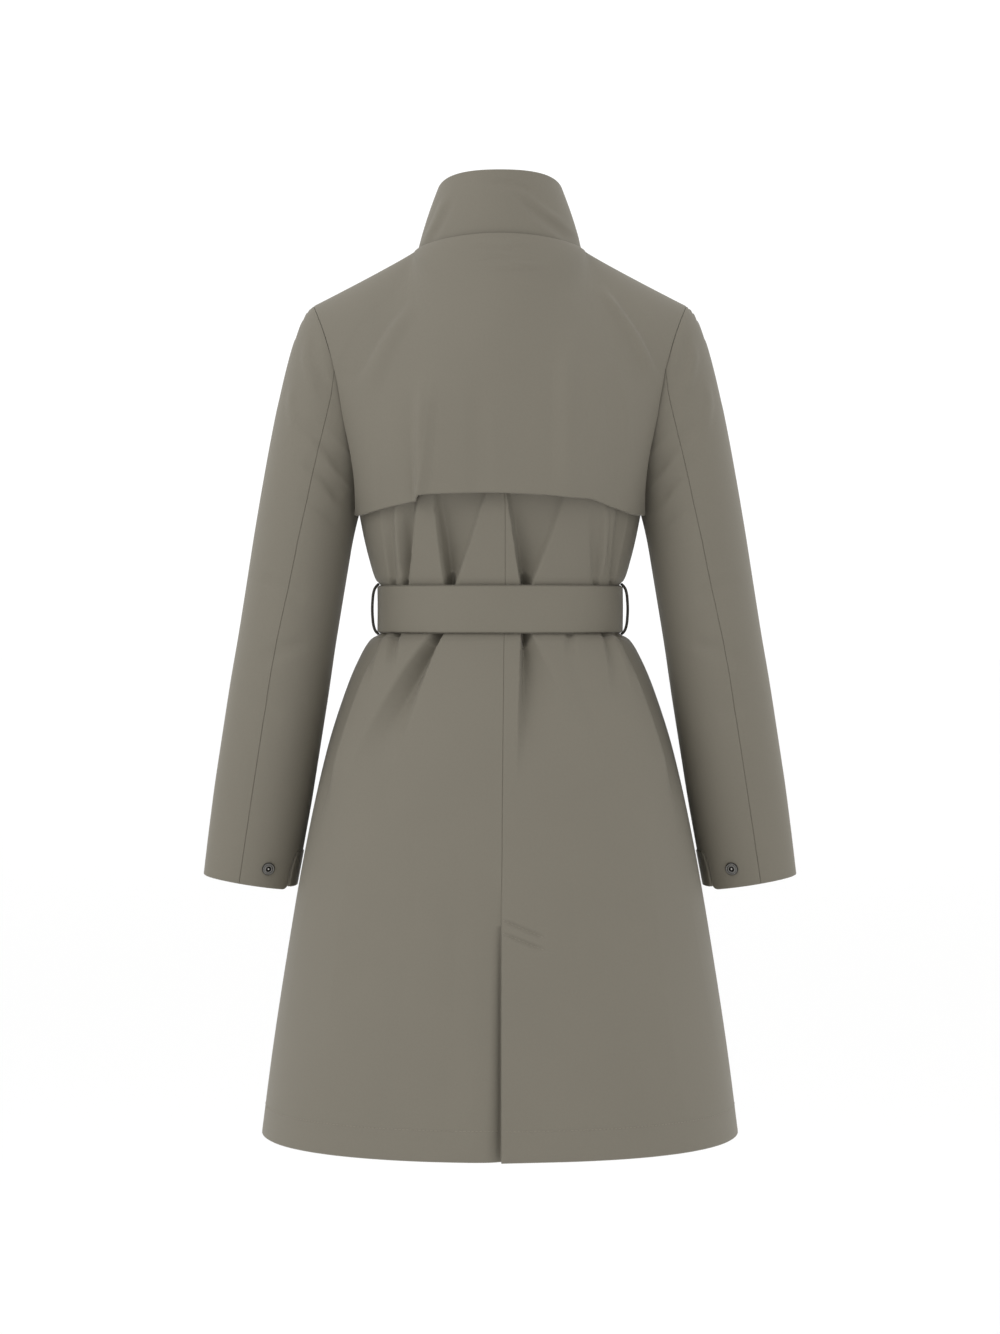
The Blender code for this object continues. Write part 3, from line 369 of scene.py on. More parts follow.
# Rows that follow the shoulder's turn up to the sewn edge, as shares below it
FLAP_TOP_ROWS = np.array((0.0090, 0.0060, 0.0036, 0.0018, 0.0006, 0.0))
FLAP_LIFT = 0.0105
FLAP_SIDE_LIFT = 0.0040
FLAP_STEP_ACROSS = 0.0765
FLAP_STEP_WIDTH = 0.0060
FLAP_STEP_SPREAD = 0.060
FLAP_STEP_CURVE = 2.4
FLAP_SLOPE_ACROSS = -0.082
FLAP_SLOPE_WIDTH = 0.045
FLAP_HANG_CURVE = 1.7
FLAP_ROWS = 84
FLAP_LENGTH = 0.24
FLAP_HALF = 0.15
# Columns of the flap: places across where a run of columns ends, places in each run, lengths of the end runs
FLAP_BREAKS = (-1.0, -0.3, 0.30, 0.42, 1.0)
FLAP_COLUMNS = (70, 46, 40, 56)
FLAP_END_LENGTHS = (0.12, 0.10)
# Trial rows that find the hem's rise: highest, number, and the one that tells the place across
FLAP_TRIAL_RISE = 0.2
FLAP_TRIALS = 60
FLAP_TRIAL_ROW = 10
# Lower edge of the flap: across, level
FLAP_HEM = np.array((
    (-0.160, -0.2700),
    (-0.1326, -0.2664),
    (-0.1027, -0.2573),
    (-0.0920, -0.2530),
    (-0.0838, -0.2504),
    (-0.0643, -0.2484),
    (-0.0239, -0.2467),
    (0.000, -0.2459),
    (0.0230, -0.2457),
    (0.0700, -0.2458),
    (0.0742, -0.2460),
    (0.0758, -0.2480),
    (0.0774, -0.2524),
    (0.0800, -0.2532),
    (0.1062, -0.2587),
    (0.1319, -0.2652),
    (0.160, -0.2715),
))

# Collar
COLLAR_TOP_HALF = 0.0625
COLLAR_TOP_BACK = 0.064
COLLAR_TOP_FRONT = 0.068
COLLAR_TOP_SHIFT = -0.002
COLLAR_SIDE_LEVEL = 0.057
COLLAR_BACK_RISE = 0.0149
COLLAR_BACK_CURVE = 1.6
COLLAR_FRONT_DROP = 0.037
COLLAR_FRONT_STRAIGHT = 0.64
COLLAR_BULGE = 0.0015
COLLAR_LAP = 24.0
COLLAR_LAP_CLEAR = 0.0028
COLLAR_SEAM_GAP = 0.0004
COLLAR_WALL = 0.0022
COLLAR_COLUMNS = 190
COLLAR_LENGTH = 0.48
COLLAR_ROWS = 34
COLLAR_HEIGHT = 0.065
COLLAR_RADIUS = 0.07

# Sleeves: level of the ring's centre, half width, half depth, forward shift
SLEEVE_SECTIONS = np.array((
    (-0.295, 0.0490, 0.0640, 0.000),
    (-0.380, 0.0487, 0.0605, 0.002),
    (-0.450, 0.0495, 0.0560, 0.006),
    (-0.530, 0.0495, 0.0500, 0.014),
    (-0.585, 0.0485, 0.0455, 0.020),
    (-0.6335, 0.0470, 0.0420, 0.026),
))
# Back seam of the sleeve: run down the sleeve, angle
SLEEVE_SEAM = np.array((
    (0.00, 68.0),
    (0.20, 81.0),
    (0.40, 86.0),
    (0.60, 88.5),
    (0.80, 90.0),
    (1.00, 89.0),
    (1.20, 85.0),
    (1.35, 82.0),
    (1.66, 81.5),
    (2.00, 81.0),
))
SLEEVE_AXIS_HALF = 0.1935
SLEEVE_AXIS_LEVEL = -0.270
SLEEVE_LEAN = 0.162
SLEEVE_RADIUS = 0.054
SLEEVE_SEAM_RADIUS = 0.05
INNER_SEAM = 205.0
CAP_ROWS = 52
CAP_LENGTH = 0.20
TUBE_ROWS = 84
TUBE_LENGTH = 0.34
SLEEVE_TOP_COLUMNS = 84
SLEEVE_TOP_WIDTH = 0.15
# The under sleeve's columns before and behind the slit's line
SLEEVE_UNDER_COLUMNS = 44
SLEEVE_UNDER_WIDTH = 0.085
SLEEVE_BESIDE_COLUMNS = 22
SLEEVE_BESIDE_WIDTH = 0.045
ARMHOLE_GAP = 0.0003
CAP_LIFT_FULL = 40.0
CAP_LIFT_FADE = 55.0
CAP_WAY = np.array((0.62, 0.0, -0.70))
CAP_WAY_SWING = np.array((0.26, 0.25, 0.23))
CAP_PULL_TOP = 0.080
CAP_PULL_UNDER = 0.010
CAP_FALL_TOP = 0.250
CAP_FALL_UNDER = 0.050
CUFF_SLIT_RUN = 1.882
CUFF_SLIT_STEP = 0.003
CUFF_CORNER_RUN = 0.016
CUFF_CORNER_ANGLE = 7.0
# Slit in the under sleeve: run, angle
CUFF_SLIT = np.array((
    (CUFF_SLIT_RUN, 157.0),
    (1.893, 153.0),
    (1.910, 149.8),
    (1.935, 147.6),
    (1.960, 147.0),
    (2.000, 147.4),
))

# Cuff tab and snaps; the tab's near edge is given as run, angle
TAB_EDGE = np.array((
    (CUFF_SLIT_RUN, 159.0),
    (1.900, 155.0),
    (1.935, 152.0),
    (1.970, 151.4),
    (2.000, 152.2),
))
TAB_END = 264.0
TAB_WALL = 0.0021
TAB_RISE_START = 178.0
TAB_RISE_WIDTH = 24.0
TAB_LOW = 1.990
TAB_HIGH = 1.884
TAB_CLEAR = 0.0005
TAB_NOSE = 0.35
TAB_COLUMNS = 44
TAB_LENGTH = 0.090
TAB_ROWS = 18
TAB_WIDTH = 0.036
CUFF_SNAP_ANGLE = 113.5
CUFF_SNAP_RUN = 1.943
TAB_SNAP_ANGLE = 251.0
SNAP_STEPS = 48
# Snap profile: radius, height, share of painted shade in the recesses and at the rim (below 0 a painted
# highlight)
SNAP_PROFILE = (
    (0.00000, 0.00170, -2.0),
    (0.00060, 0.00168, -2.0),
    (0.00105, 0.00150, -1.6),
    (0.00120, 0.00060, 0.9),
    (0.00160, 0.00045, 1.0),
    (0.00215, 0.00060, 1.0),
    (0.00245, 0.00150, 0.9),
    (0.00265, 0.00185, 0.2),
    (0.00310, 0.00200, 0.0),
    (0.00400, 0.00190, 0.0),
    (0.00440, 0.00165, 0.2),
    (0.00470, 0.00165, 0.2),
    (0.00510, 0.00185, -0.2),
    (0.00560, 0.00180, 0.1),
    (0.00605, 0.00150, 0.7),
    (0.00635, 0.00100, 0.8),
    (0.00650, 0.00045, 1.0),
    (0.00640, 0.00000, 1.0),
    (0.00000, 0.00000, 1.0),
)

# Stitches
HEM_STITCH_LEVEL = -0.8512
FRONT_STITCH_ACROSS = 0.012
# Bar stitches at the vent: start across, start level, end across, end level
VENT_STITCHES = (
    (-0.0022, -0.6545, -0.0425, -0.6716),
    (-0.0022, -0.6668, -0.0420, -0.6829),
)
STITCH_TROUGH = 0.0016
STITCH_TROUGH_HALF = 0.0024
STITCH_TROUGH_SOFTNESS = 0.3
VENT_STITCH_PLACES = 40
# Hem stitches: share of the quarter ring where each panel's row starts, where all rows end
HEM_STITCH_STARTS = {"back_left": 0.004, "back_right": 0.012, "front_left": 0.098, "front_right": -0.085}
HEM_STITCH_END = 0.990
BACK_HEM_PLACES = 160
FRONT_HEM_PLACES = 170
# Stitches of the closing: foot above the hem, rise of the upper run, places below and above the chest
FRONT_STITCH_FOOT = 0.034
FRONT_STITCH_RISE = (0.01, 0.97)
FRONT_LOW_PLACES = 320
FRONT_HIGH_PLACES = 110
# One stitch: places along it, thickness there, sides, how deep it sits and how far it is flattened
STITCH_SHARES = np.array((0.0, 0.12, 0.5, 0.88, 1.0))
STITCH_SWELL = np.array((0.35, 0.85, 1.0, 0.85, 0.35))
STITCH_SIDES = 6
STITCH_SINK = 0.8
STITCH_WIDEN = 1.3

# Steps for normals: share of a ring or rise, radians round the collar, degrees and run on a sleeve
NORMAL_STEP = 0.004
TURN_STEP = 0.01
ANGLE_STEP = 1.5
RUN_STEP = 0.01

# Rounding of a cut edge and of a seam's edge, and places of the extra rows and columns for it
ROLL_RADIUS = 0.0010
SEAM_ROLL_RADIUS = 0.0006
ROLL_PLACES = np.array((0.0, 0.0001, 0.0003, 0.0006, 0.0010))
ROLL_COUNT = ROLL_PLACES.size
ROLL_MARGIN = 1.2
# Share of a wall's thickness that its rim stands out
RIM_BULGE = 0.35

# Cloth finish
CLOTH_SPECULAR = 0.28
SHEEN_ROUGHNESS = 0.45
SHEEN_TINT = (0.95, 0.93, 0.88, 1.0)
RIB_SCALE = 0.31416
RIB_DISTORTION = 0.6
RIB_DETAIL = 1.0
RIB_SHARE = 0.6
YARN_SCALE = 0.9
DRIFT_SCALE = 9.0
DRIFT_DETAIL = 3.0
DRIFT_TONES = (0.955, 1.045)
FLECK_SCALE = 420.0
FLECK_TONES = (0.965, 1.035)
ROUGHNESS_DRIFT = 0.05
WEAVE_STRENGTH = 0.22
WEAVE_DEPTH = 0.00012

# Thread and snap finishes
THREAD_SPECULAR = 0.35
FIBRE_SCALE = 600.0
FIBRE_TONES = (0.9, 1.1)
THREAD_ROUGHNESS = (0.5, 0.7)
WEAR_SCALE = 900.0
WEAR_DETAIL = 3.0
WEAR_TONES = (0.80, 1.25)
# Painted light on a snap: tone from the strongest painted highlight at its centre to the painted shade in
# its deepest recess
PAINTED_HIGHLIGHT_FULL = -2.0
PAINTED_LIGHT_TONES = (6.0, 0.10)
SNAP_ROUGHNESS = (0.32, 0.48)

# Stage
FLOOR_LEVEL = -1.36
FLOOR_HALF = 60.0
FLOOR_ROUGHNESS = 0.85
FLOOR_SPECULAR = 0.1
# The floor's tone per strength of the surround at the horizon, and where it passes from one to the other
FLOOR_MATCH = 0.98
FLOOR_FADE_START = 1.5
FLOOR_FADE_END = 14.0
CAMERA_PLACE = (0.0, 3.0, -0.36)
CAMERA_LENS = 80.96
CAMERA_SENSOR = 36.0
CAMERA_SHIFT = -0.0427
# Lights: place, target, size
KEY_LIGHT = ((1.56, 1.66, 1.18), (0.0, 0.1, -0.20), (1.5, 1.3))
RIM_LIGHT = ((-2.6, -0.4, 0.3), (0.0, 0.0, -0.4), (1.0, 2.2))


class CoatClothSettings(PropertyGroup):
    """Cloth of the coat and its belt."""

    cloth_colour: FloatVectorProperty(
        name="Cloth", description="Colour of the coat's cloth", subtype="COLOR", size=3,
        min=0.0, max=1.0, default=(0.190, 0.174, 0.139),
    )
    belt_colour: FloatVectorProperty(
        name="Belt", description="Colour of the belt's cloth", subtype="COLOR", size=3,
        min=0.0, max=1.0, default=(0.192, 0.176, 0.140),
    )
    thread_colour: FloatVectorProperty(
        name="Thread", description="Colour of the sewing thread", subtype="COLOR", size=3,
        min=0.0, max=1.0, default=(0.235, 0.214, 0.170),
    )
    # The loops are strips of the coat's cloth; their near-black colour is painted shade
    loop_painted_shade_colour: FloatVectorProperty(
        name="Loops", description="Colour of the thread loops that carry the belt", subtype="COLOR",
        size=3, min=0.0, max=1.0, default=(0.060, 0.055, 0.046),
    )
    wall: FloatProperty(
        name="Wall", description="Thickness of the coat's cloth", default=0.0016,
        unit="LENGTH", precision=4,
    )
    twill_pitch: FloatProperty(
        name="Twill pitch", description="Distance between the ribs of the weave", default=0.0008,
        unit="LENGTH", precision=4,
    )
    roughness: FloatProperty(
        name="Roughness", description="Roughness of the cloth", default=0.72,
        subtype="FACTOR", min=0.0, max=1.0,
    )
    sheen: FloatProperty(
        name="Sheen", description="Soft light caught by the nap at the cloth's edges", default=0.10,
        subtype="FACTOR", min=0.0, max=1.0,
    )


class CoatTrimSettings(PropertyGroup):
    """Snaps and stitches."""

    snap_colour: FloatVectorProperty(
        name="Snap", description="Colour of the snaps' metal", subtype="COLOR", size=3,
        min=0.0, max=1.0, default=(0.090, 0.088, 0.084),
    )
    stitch_length: FloatProperty(
        name="Stitch", description="Length of one stitch", default=0.0030, unit="LENGTH", precision=4,
    )
    stitch_gap: FloatProperty(
        name="Gap", description="Distance between two stitches", default=0.0009, unit="LENGTH", precision=4,
    )
    thread: FloatProperty(
        name="Thread", description="Thickness of the thread", default=0.0005, unit="LENGTH", precision=4,
    )


class CoatStageSettings(PropertyGroup):
    """Floor and light."""

    floor_colour: FloatVectorProperty(
        name="Floor", description="Colour of the floor", subtype="COLOR", size=3,
        min=0.0, max=1.0, default=(0.93, 0.93, 0.928),
    )
    key_power: FloatProperty(
        name="Key light", description="Power of the large light above and beside the camera",
        default=15.0, unit="POWER",
    )
    rim_power: FloatProperty(
        name="Rim light", description="Power of the light behind the other side",
        default=4.0, unit="POWER",
    )
    sky_far: FloatProperty(
        name="Far surround", description="Strength of the white surround beyond the coat",
        default=1.06, min=0.0,
    )
    sky_near: FloatProperty(
        name="Near surround", description="Strength of the white surround at the coat's back",
        default=0.67, min=0.0,
    )
    sky_rise: FloatProperty(
        name="Surround's rise",
        description="Strength that the surround gains from the horizon to the top",
        default=0.28, min=0.0,
    )


def smooth_step(value):
    value = np.clip(value, 0.0, 1.0)
    return value * value * (3.0 - 2.0 * value)


def smooth_column(table, column, at):
    """Values of a table's column at levels, by a cubic that never overshoots its rows."""
    order = np.argsort(table[:, 0])
    levels = table[order, 0]
    values = table[order, column]
    at = np.clip(at, levels[0], levels[-1])
    spans = np.diff(levels)
    slopes = np.diff(values) / spans
    tangents = np.zeros(len(levels))
    tangents[0] = slopes[0]
    tangents[-1] = slopes[-1]
    same_way = slopes[:-1] * slopes[1:] > 0
    joined = np.where(same_way, slopes[:-1] + slopes[1:], 1.0)
    tangents[1:-1] = np.where(same_way, 2.0 * slopes[:-1] * slopes[1:] / joined, 0.0)
    k = np.clip(np.searchsorted(levels, at, side="right") - 1, 0, len(spans) - 1)
    s = (at - levels[k]) / spans[k]
    rise = s * s * (3.0 - 2.0 * s)
    start = s * (1.0 - s) ** 2 * spans[k]
    end = s * s * (s - 1.0) * spans[k]
    return (1.0 - rise) * values[k] + rise * values[k + 1] + start * tangents[k] + end * tangents[k + 1]


def unit(vectors):
    return vectors / np.maximum(np.linalg.norm(vectors, axis=-1, keepdims=True), 1e-12)


def stack(x, y, z):
    return np.stack(np.broadcast_arrays(x, y, z), axis=-1).astype(float)


def paired(first, second):
    """Two arrays of numbers in one common shape."""
    return np.broadcast_arrays(np.asarray(first, float), np.asarray(second, float))


def body_sizes(level):
    return [smooth_column(BODY_SECTIONS, k, level) for k in (1, 2, 3)]


def level_of(rise):
    """Level of a row of the body; rows above the chest ring count as the ring's own."""
    return CHEST_LEVEL + np.minimum(rise, 0.0)


def soft_v(offset, softness, shape=CREASE_SHAPE):
    """A fold's profile: 1 in its line, 0 outside it, sharp or soft in between."""
    reach = np.sqrt(offset * offset + softness * softness)
    return (np.maximum(1.0 - reach, 0.0) / (1.0 - softness)) ** shape


def belt_folds(face, angle, level, half, depth):
    """How far the folds at the belt press the cloth in."""
    total = np.zeros(np.broadcast(angle, level).shape)
    belt_share = smooth_step((level - BELT_BOTTOM) / (BELT_TOP - BELT_BOTTOM))
    for folds, edge, way, weight in (
        (FOLDS_ABOVE, BELT_TOP, 1.0, belt_share),
        (FOLDS_BELOW, BELT_BOTTOM, -1.0, 1.0 - belt_share),
    ):
        for fold in folds:
            fold_face, near, far, bend, reach, deep, pinch = fold[:7]
            left_near, left_far, right_near, right_far, soft, shape = fold[7:]
            along = np.clip((level - edge) * way, 0.0, None) / reach
            middle = near + (far - near) * np.clip(along, 0.0, 1.0) ** bend
            place = np.arcsin(np.clip(middle / half, -1.0, 1.0))
            offset = (angle - place) * (half + depth) / 2.0
            left = left_near + (left_far - left_near) * along
            right = right_near + (right_far - right_near) * along
            offset = offset / np.where(offset > 0.0, left, right)
            swell = pinch + (1.0 - pinch) * smooth_step(along / FOLD_PEAK)
            swell = swell * (1.0 - smooth_step((along - FOLD_PEAK) / (1.0 - FOLD_PEAK)))
            soft = soft + FOLD_SOFTENING * np.clip(along, 0.0, 1.0)
            press = weight * deep * swell * soft_v(offset, soft, shape)
            total += np.where((face == fold_face) & (along < 1.0), press, 0.0)
    return total


def crease_relief(creases, across, level, shape=CREASE_SHAPE):
    """Height of the listed creases over a face, from across and level."""
    total = np.zeros(np.broadcast(across, level).shape)
    for x0, z0, x1, z1, bow, height, half_start, half_end, skew, softness in creases:
        run = np.array((x1 - x0, z1 - z0))
        length = np.hypot(*run)
        run = run / length
        along = ((across - x0) * run[0] + (level - z0) * run[1]) / length
        aside = -(across - x0) * run[1] + (level - z0) * run[0]
        inside = np.clip(along, 0.0, 1.0)
        aside = aside - bow * 4.0 * inside * (1.0 - inside)
        past = np.clip(np.abs(along - 0.5) - 0.5, 0.0, None) * length
        spread = half_start + (half_end - half_start) * inside
        aside = aside / (1.0 - skew * np.sign(aside))
        offset = np.hypot(aside, past * CREASE_END_SQUEEZE) / spread
        fade = smooth_step(inside / CREASE_RISE + CREASE_START)
        fade = fade * smooth_step((1.0 - inside) / CREASE_RISE + CREASE_START)
        total += height * fade * soft_v(offset, softness, shape)
    return total


def ring_form(face, across, level):
    """The smooth body below the chest; across runs from 0 at the centre to 1 at the side seam."""
    half, back, front = body_sizes(level)
    turn = across * np.pi / 2.0
    on_face = np.where(np.abs(across) <= 1.0, face, -face)
    depth = np.where(on_face == BACK, back, front)
    square = 1.0 + RING_SQUARENESS * np.sin(2.0 * turn) ** 2
    return stack(half * np.sin(turn) * square, face * depth * np.cos(turn) * square, level)


def neck_line(turn):
    """The neck seam; turn runs in radians from the centre back, positive to the left."""
    lean = np.cos(turn)
    depth = np.where(lean > 0, NECK_BACK, NECK_FRONT)
    level = NECK_SIDE_LEVEL + NECK_BACK_RISE * np.maximum(lean, 0.0) ** 2
    level = level - NECK_FRONT_DROP * np.maximum(-lean, 0.0) ** NECK_FRONT_CURVE
    return stack(NECK_HALF * np.sin(turn), NECK_SHIFT + depth * lean, level)


def blade_line(face, across):
    half = ARMHOLE_BACK_HALF if face == BACK else ARMHOLE_FRONT_HALF
    depth = BLADE_BACK_DEPTH if face == BACK else BLADE_FRONT_DEPTH
    reach = math.acos(ARMHOLE_DEPTH / depth)
    turn = across * reach
    level = BLADE_CENTRE_LEVEL + (BLADE_ARMHOLE_LEVEL - BLADE_CENTRE_LEVEL) * across * across
    return stack(half * np.sin(turn) / math.sin(reach), face * depth * np.cos(turn), level)


def top_line(face, across):
    """The neck edge, then the shoulder seam out to the armhole."""
    side = np.where(across >= 0, 1.0, -1.0)
    share = np.abs(across)
    turn = np.minimum(share / NECK_SHARE, 1.0) * np.pi / 2.0
    if face == FRONT:
        turn = np.pi - turn
    neck = neck_line(side * turn)
    along = np.clip((share - NECK_SHARE) / (1.0 - NECK_SHARE), 0.0, None)
    x = side * (NECK_HALF + (SHOULDER_HALF - NECK_HALF) * along)
    level = NECK_SIDE_LEVEL + (SHOULDER_LEVEL - NECK_SIDE_LEVEL) * along ** SHOULDER_BEND
    shoulder = stack(x, NECK_SHIFT * (1.0 - along), level)
    return np.where((share <= NECK_SHARE)[..., None], neck, shoulder)


def slope_line(face, across):
    """A smooth line from the centre of the neck edge to the shoulder's end, without the neck's corner."""
    centre = top_line(face, np.zeros(1))[0]
    drop = smooth_step(np.abs(across) / NECK_SLOPE_SHARE)
    level = centre[2] + (SHOULDER_LEVEL - centre[2]) * np.abs(across) ** NECK_SLOPE_BEND
    return stack(SHOULDER_HALF * across, centre[1] * (1.0 - drop), level)


def neck_pull(face, across, rise):
    """How the neck edge draws the cloth from the plain slope, eased further below its corner."""
    width = np.minimum(NECK_EASE * (1.0 - rise) ** NECK_EASE_CURVE, NECK_EASE_WIDEST)
    total = np.zeros(across.shape + (3,))
    for offset, weight in zip(NECK_EASE_PLACES, NECK_EASE_WEIGHTS):
        place = across + offset * width
        total += weight * (top_line(face, place) - slope_line(face, place))
    return total


def body_form(face, across, rise):
    """The smooth coat: rise below 0 is metres under the chest ring, 0 to 1 is up to the shoulder."""
    across, rise = paired(across, rise)
    low = ring_form(face, across, level_of(rise))
    share = np.clip(rise, 0.0, 1.0)[..., None]
    chest = ring_form(face, across, np.full(across.shape, CHEST_LEVEL))
    slope = slope_line(face, across)
    neck_share = smooth_step((share - NECK_PULL_RISE) / (1.0 - NECK_PULL_RISE))
    bulge = blade_line(face, across) - (chest + slope) / 2.0
    swell = 4.0 * share * (1.0 - share)
    pull = neck_pull(face, across, share[..., 0])
    high = chest + (slope - chest) * share + bulge * swell + pull * neck_share
    shoulder_rounding = ROUNDING * smooth_step(np.abs(across) / NECK_SHARE)
    armpit_rounding = ROUNDING * np.abs(across) ** ARMPIT_SHARPNESS
    rounding = np.where(share[..., 0] > 0.5, shoulder_rounding, np.minimum(armpit_rounding, ROUNDING))
    swell = swell[..., 0]
    high[..., 1] += bulge[..., 1] * (swell ** (1.0 - rounding) - swell)
    return np.where((rise > 0.0)[..., None], high, low)


def body_normal(face, across, rise):
    """Outward normal of the smooth coat, shared by pieces that meet at a seam."""
    across, rise = paired(across, rise)
    step = NORMAL_STEP
    along = body_form(face, across + step, rise) - body_form(face, across - step, rise)
    up = body_form(face, across, np.minimum(rise + step, 1.0)) - body_form(face, across, rise - step)
    normal = unit(np.cross(up, along) * face)
    side = np.where(across >= 0, 1.0, -1.0)
    seam = unit(stack(side * (NECK_SIDE_LEVEL - SHOULDER_LEVEL), 0.0, SHOULDER_HALF - NECK_HALF))
    at_seam = (rise >= 1.0) & (np.abs(across) > NECK_SHARE - NECK_CORNER)
    return np.where(at_seam[..., None], seam, normal)


def share_at(half, across):
    """Share of the quarter ring at a distance from the centre line."""
    return np.arcsin(np.clip(across / half, -1.0, 1.0)) / (np.pi / 2.0)


def roll_in(distance, radius=ROLL_RADIUS):
    """How far a cut edge is rounded in at a distance from it."""
    near = np.clip(radius - distance, 0.0, radius)
    return radius - np.sqrt(np.maximum(radius ** 2 - near ** 2, 0.0))


def body_relief(face, across, rise):
    """Height of folds and creases over the smooth coat."""
    half, back, front = body_sizes(level_of(rise))
    turn = across * np.pi / 2.0
    on_face = np.where(np.abs(across) <= 1.0, face, -face)
    side = np.arcsin(np.clip(np.sin(turn), -1.0, 1.0))
    fold_level = CHEST_LEVEL + rise * np.where(rise > 0, CHEST_RISE, 1.0)
    press = belt_folds(on_face, side, fold_level, half, np.where(on_face == BACK, back, front))
    place = body_form(face, across, rise)
    level = place[..., 2]
    back_relief = crease_relief(BACK_CREASES, place[..., 0], level)
    front_relief = crease_relief(FRONT_CREASES, place[..., 0], level)
    sideways = smooth_step((1.0 - np.abs(across)) / SIDE_FADE)
    free = smooth_step((level - BELT_TOP) / BELT_EASE) + smooth_step((BELT_BOTTOM - level) / BELT_EASE)
    return np.where(on_face == BACK, back_relief, front_relief) * sideways * free - press


def body_cloth(face, across, rise):
    """Points and normals of the folded coat."""
    across, rise = paired(across, rise)
    normal = body_normal(face, across, rise)
    return body_form(face, across, rise) + normal * body_relief(face, across, rise)[..., None], normal


def back_cloth(side, across, rise):
    """Points and normals of one half of the back, with the vent's layers; across is signed."""
    point, normal = body_cloth(BACK, across, rise)
    x = point[..., 0]
    level = level_of(rise)
    hang = np.clip((VENT_TOP - level) / (VENT_TOP - HEM_LEVEL), 0.0, 1.0)
    if side == LEFT:
        low = smooth_step((VENT_TOP + VENT_RAMP - level) / VENT_RAMP)
        near = 1.0 - smooth_step(x / VENT_EASE)
        dip = np.clip(1.0 - x / (VENT_DIP_WIDTH + VENT_DIP_SPREAD * hang), 0.0, 1.0) ** 2
        shift = -(cloth_wall() + LAP_CLEAR) * near * low - VENT_DIP * dip * hang ** VENT_DIP_CURVE
    else:
        near = np.clip(1.0 + x / VENT_OPENING_WIDTH, 0.0, 1.0) ** 2
        shift = VENT_OPENING * near * hang ** VENT_OPENING_CURVE
        halves = (STITCH_TROUGH_HALF, STITCH_TROUGH_HALF)
        for line in VENT_STITCHES:
            trough = line + (0.0, -STITCH_TROUGH) + halves + (0.0, STITCH_TROUGH_SOFTNESS)
            shift = shift + crease_relief((trough,), x, point[..., 2])
    return point + normal * shift[..., None], normal


def front_cloth(side, across, rise):
    """Points and normals of one front; the left one is pressed in under the right one."""
    point, normal = body_cloth(FRONT, across, rise)
    if side == LEFT:
        edge = FRONT_LAP + FRONT_LAP_EASE + FRONT_LAP_MARGIN
        near = smooth_step((edge - point[..., 0]) / FRONT_LAP_EASE)
        point = point - normal * ((cloth_wall() + LAP_CLEAR) * near)[..., None]
    lift = 1.0 - smooth_step((1.0 - rise) * 180.0 / CAP_LIFT_FADE)
    beside = smooth_step((np.abs(across) / NECK_SHARE - FRONT_LIFT_START) / (1.0 - FRONT_LIFT_START))
    return point + normal * ((FLAP_CLEAR + cloth_wall()) * lift * beside)[..., None], normal


def flap_cloth(across, rise, hang):
    """Points and normals of the storm flap; hang is 0 at its sewn top and 1 at its free edge."""
    normal = body_normal(BACK, across, rise)
    base = body_form(BACK, across, rise)
    x = base[..., 0]
    step_width = FLAP_STEP_WIDTH + FLAP_STEP_SPREAD * (1.0 - hang)
    centre = smooth_step((FLAP_STEP_ACROSS + step_width / 2.0 - x) / step_width)
    centre = centre * smooth_step((x - FLAP_SLOPE_ACROSS + FLAP_SLOPE_WIDTH / 2.0) / FLAP_SLOPE_WIDTH)
    lift = FLAP_SIDE_LIFT * hang ** FLAP_HANG_CURVE
    lift = lift + (FLAP_LIFT - FLAP_SIDE_LIFT) * centre * hang ** FLAP_STEP_CURVE
    relief = crease_relief(FLAP_CREASES, x, base[..., 2], FLAP_CREASE_SHAPE)
    stand = FLAP_CLEAR + cloth_wall() + np.maximum(lift + relief, 0.0)
    return base + normal * stand[..., None], normal


def collar_form(turn, height):
    """The funnel collar's outer face; turn in radians from the centre back, height 0 to 1."""
    base = neck_line(turn) + np.array((0.0, 0.0, COLLAR_SEAM_GAP))
    lean = np.cos(turn)
    depth = np.where(lean > 0, COLLAR_TOP_BACK, COLLAR_TOP_FRONT)
    straight = COLLAR_FRONT_STRAIGHT
    rear = COLLAR_BACK_RISE * (1.0 - np.clip(1.0 - lean, 0.0, 1.0) ** COLLAR_BACK_CURVE)
    fore = COLLAR_FRONT_DROP * (straight * lean - (1.0 - straight) * lean * lean)
    level = COLLAR_SIDE_LEVEL + np.where(lean > 0, rear, fore)
    top = stack(COLLAR_TOP_HALF * np.sin(turn), COLLAR_TOP_SHIFT + depth * lean, level)
    out = stack(np.sin(turn), lean, 0.0)
    height = np.asarray(height)[..., None]
    return base + (top - base) * height + out * COLLAR_BULGE * 4.0 * height * (1.0 - height)


def collar_cloth(turn, height):
    turn, height = np.broadcast_arrays(turn, height)
    step = TURN_STEP
    along = collar_form(turn + step, height) - collar_form(turn - step, height)
    up = collar_form(turn, np.minimum(height + step, 1.0))
    up = up - collar_form(turn, np.maximum(height - step, 0.0))
    normal = unit(np.cross(up, along))
    point = collar_form(turn, height)
    lap = math.radians(COLLAR_LAP)
    under = smooth_step((turn - math.pi + 2.0 * lap) / lap)
    relief = crease_relief(COLLAR_CREASES, point[..., 0], point[..., 2]) * (np.cos(turn) > 0)
    return point + normal * (relief - COLLAR_LAP_CLEAR * under)[..., None], normal


def tube_form(angle, level):
    """The hanging sleeve below the armhole."""
    half, depth, forward = [smooth_column(SLEEVE_SECTIONS, k, level) for k in (1, 2, 3)]
    centre = SLEEVE_AXIS_HALF + SLEEVE_LEAN * (SLEEVE_AXIS_LEVEL - level)
    lean = math.atan(SLEEVE_LEAN)
    turn = np.radians(angle)
    out = half * np.cos(turn)
    across = centre + out * math.cos(lean)
    return stack(across, -forward + depth * np.sin(turn), level + out * math.sin(lean))


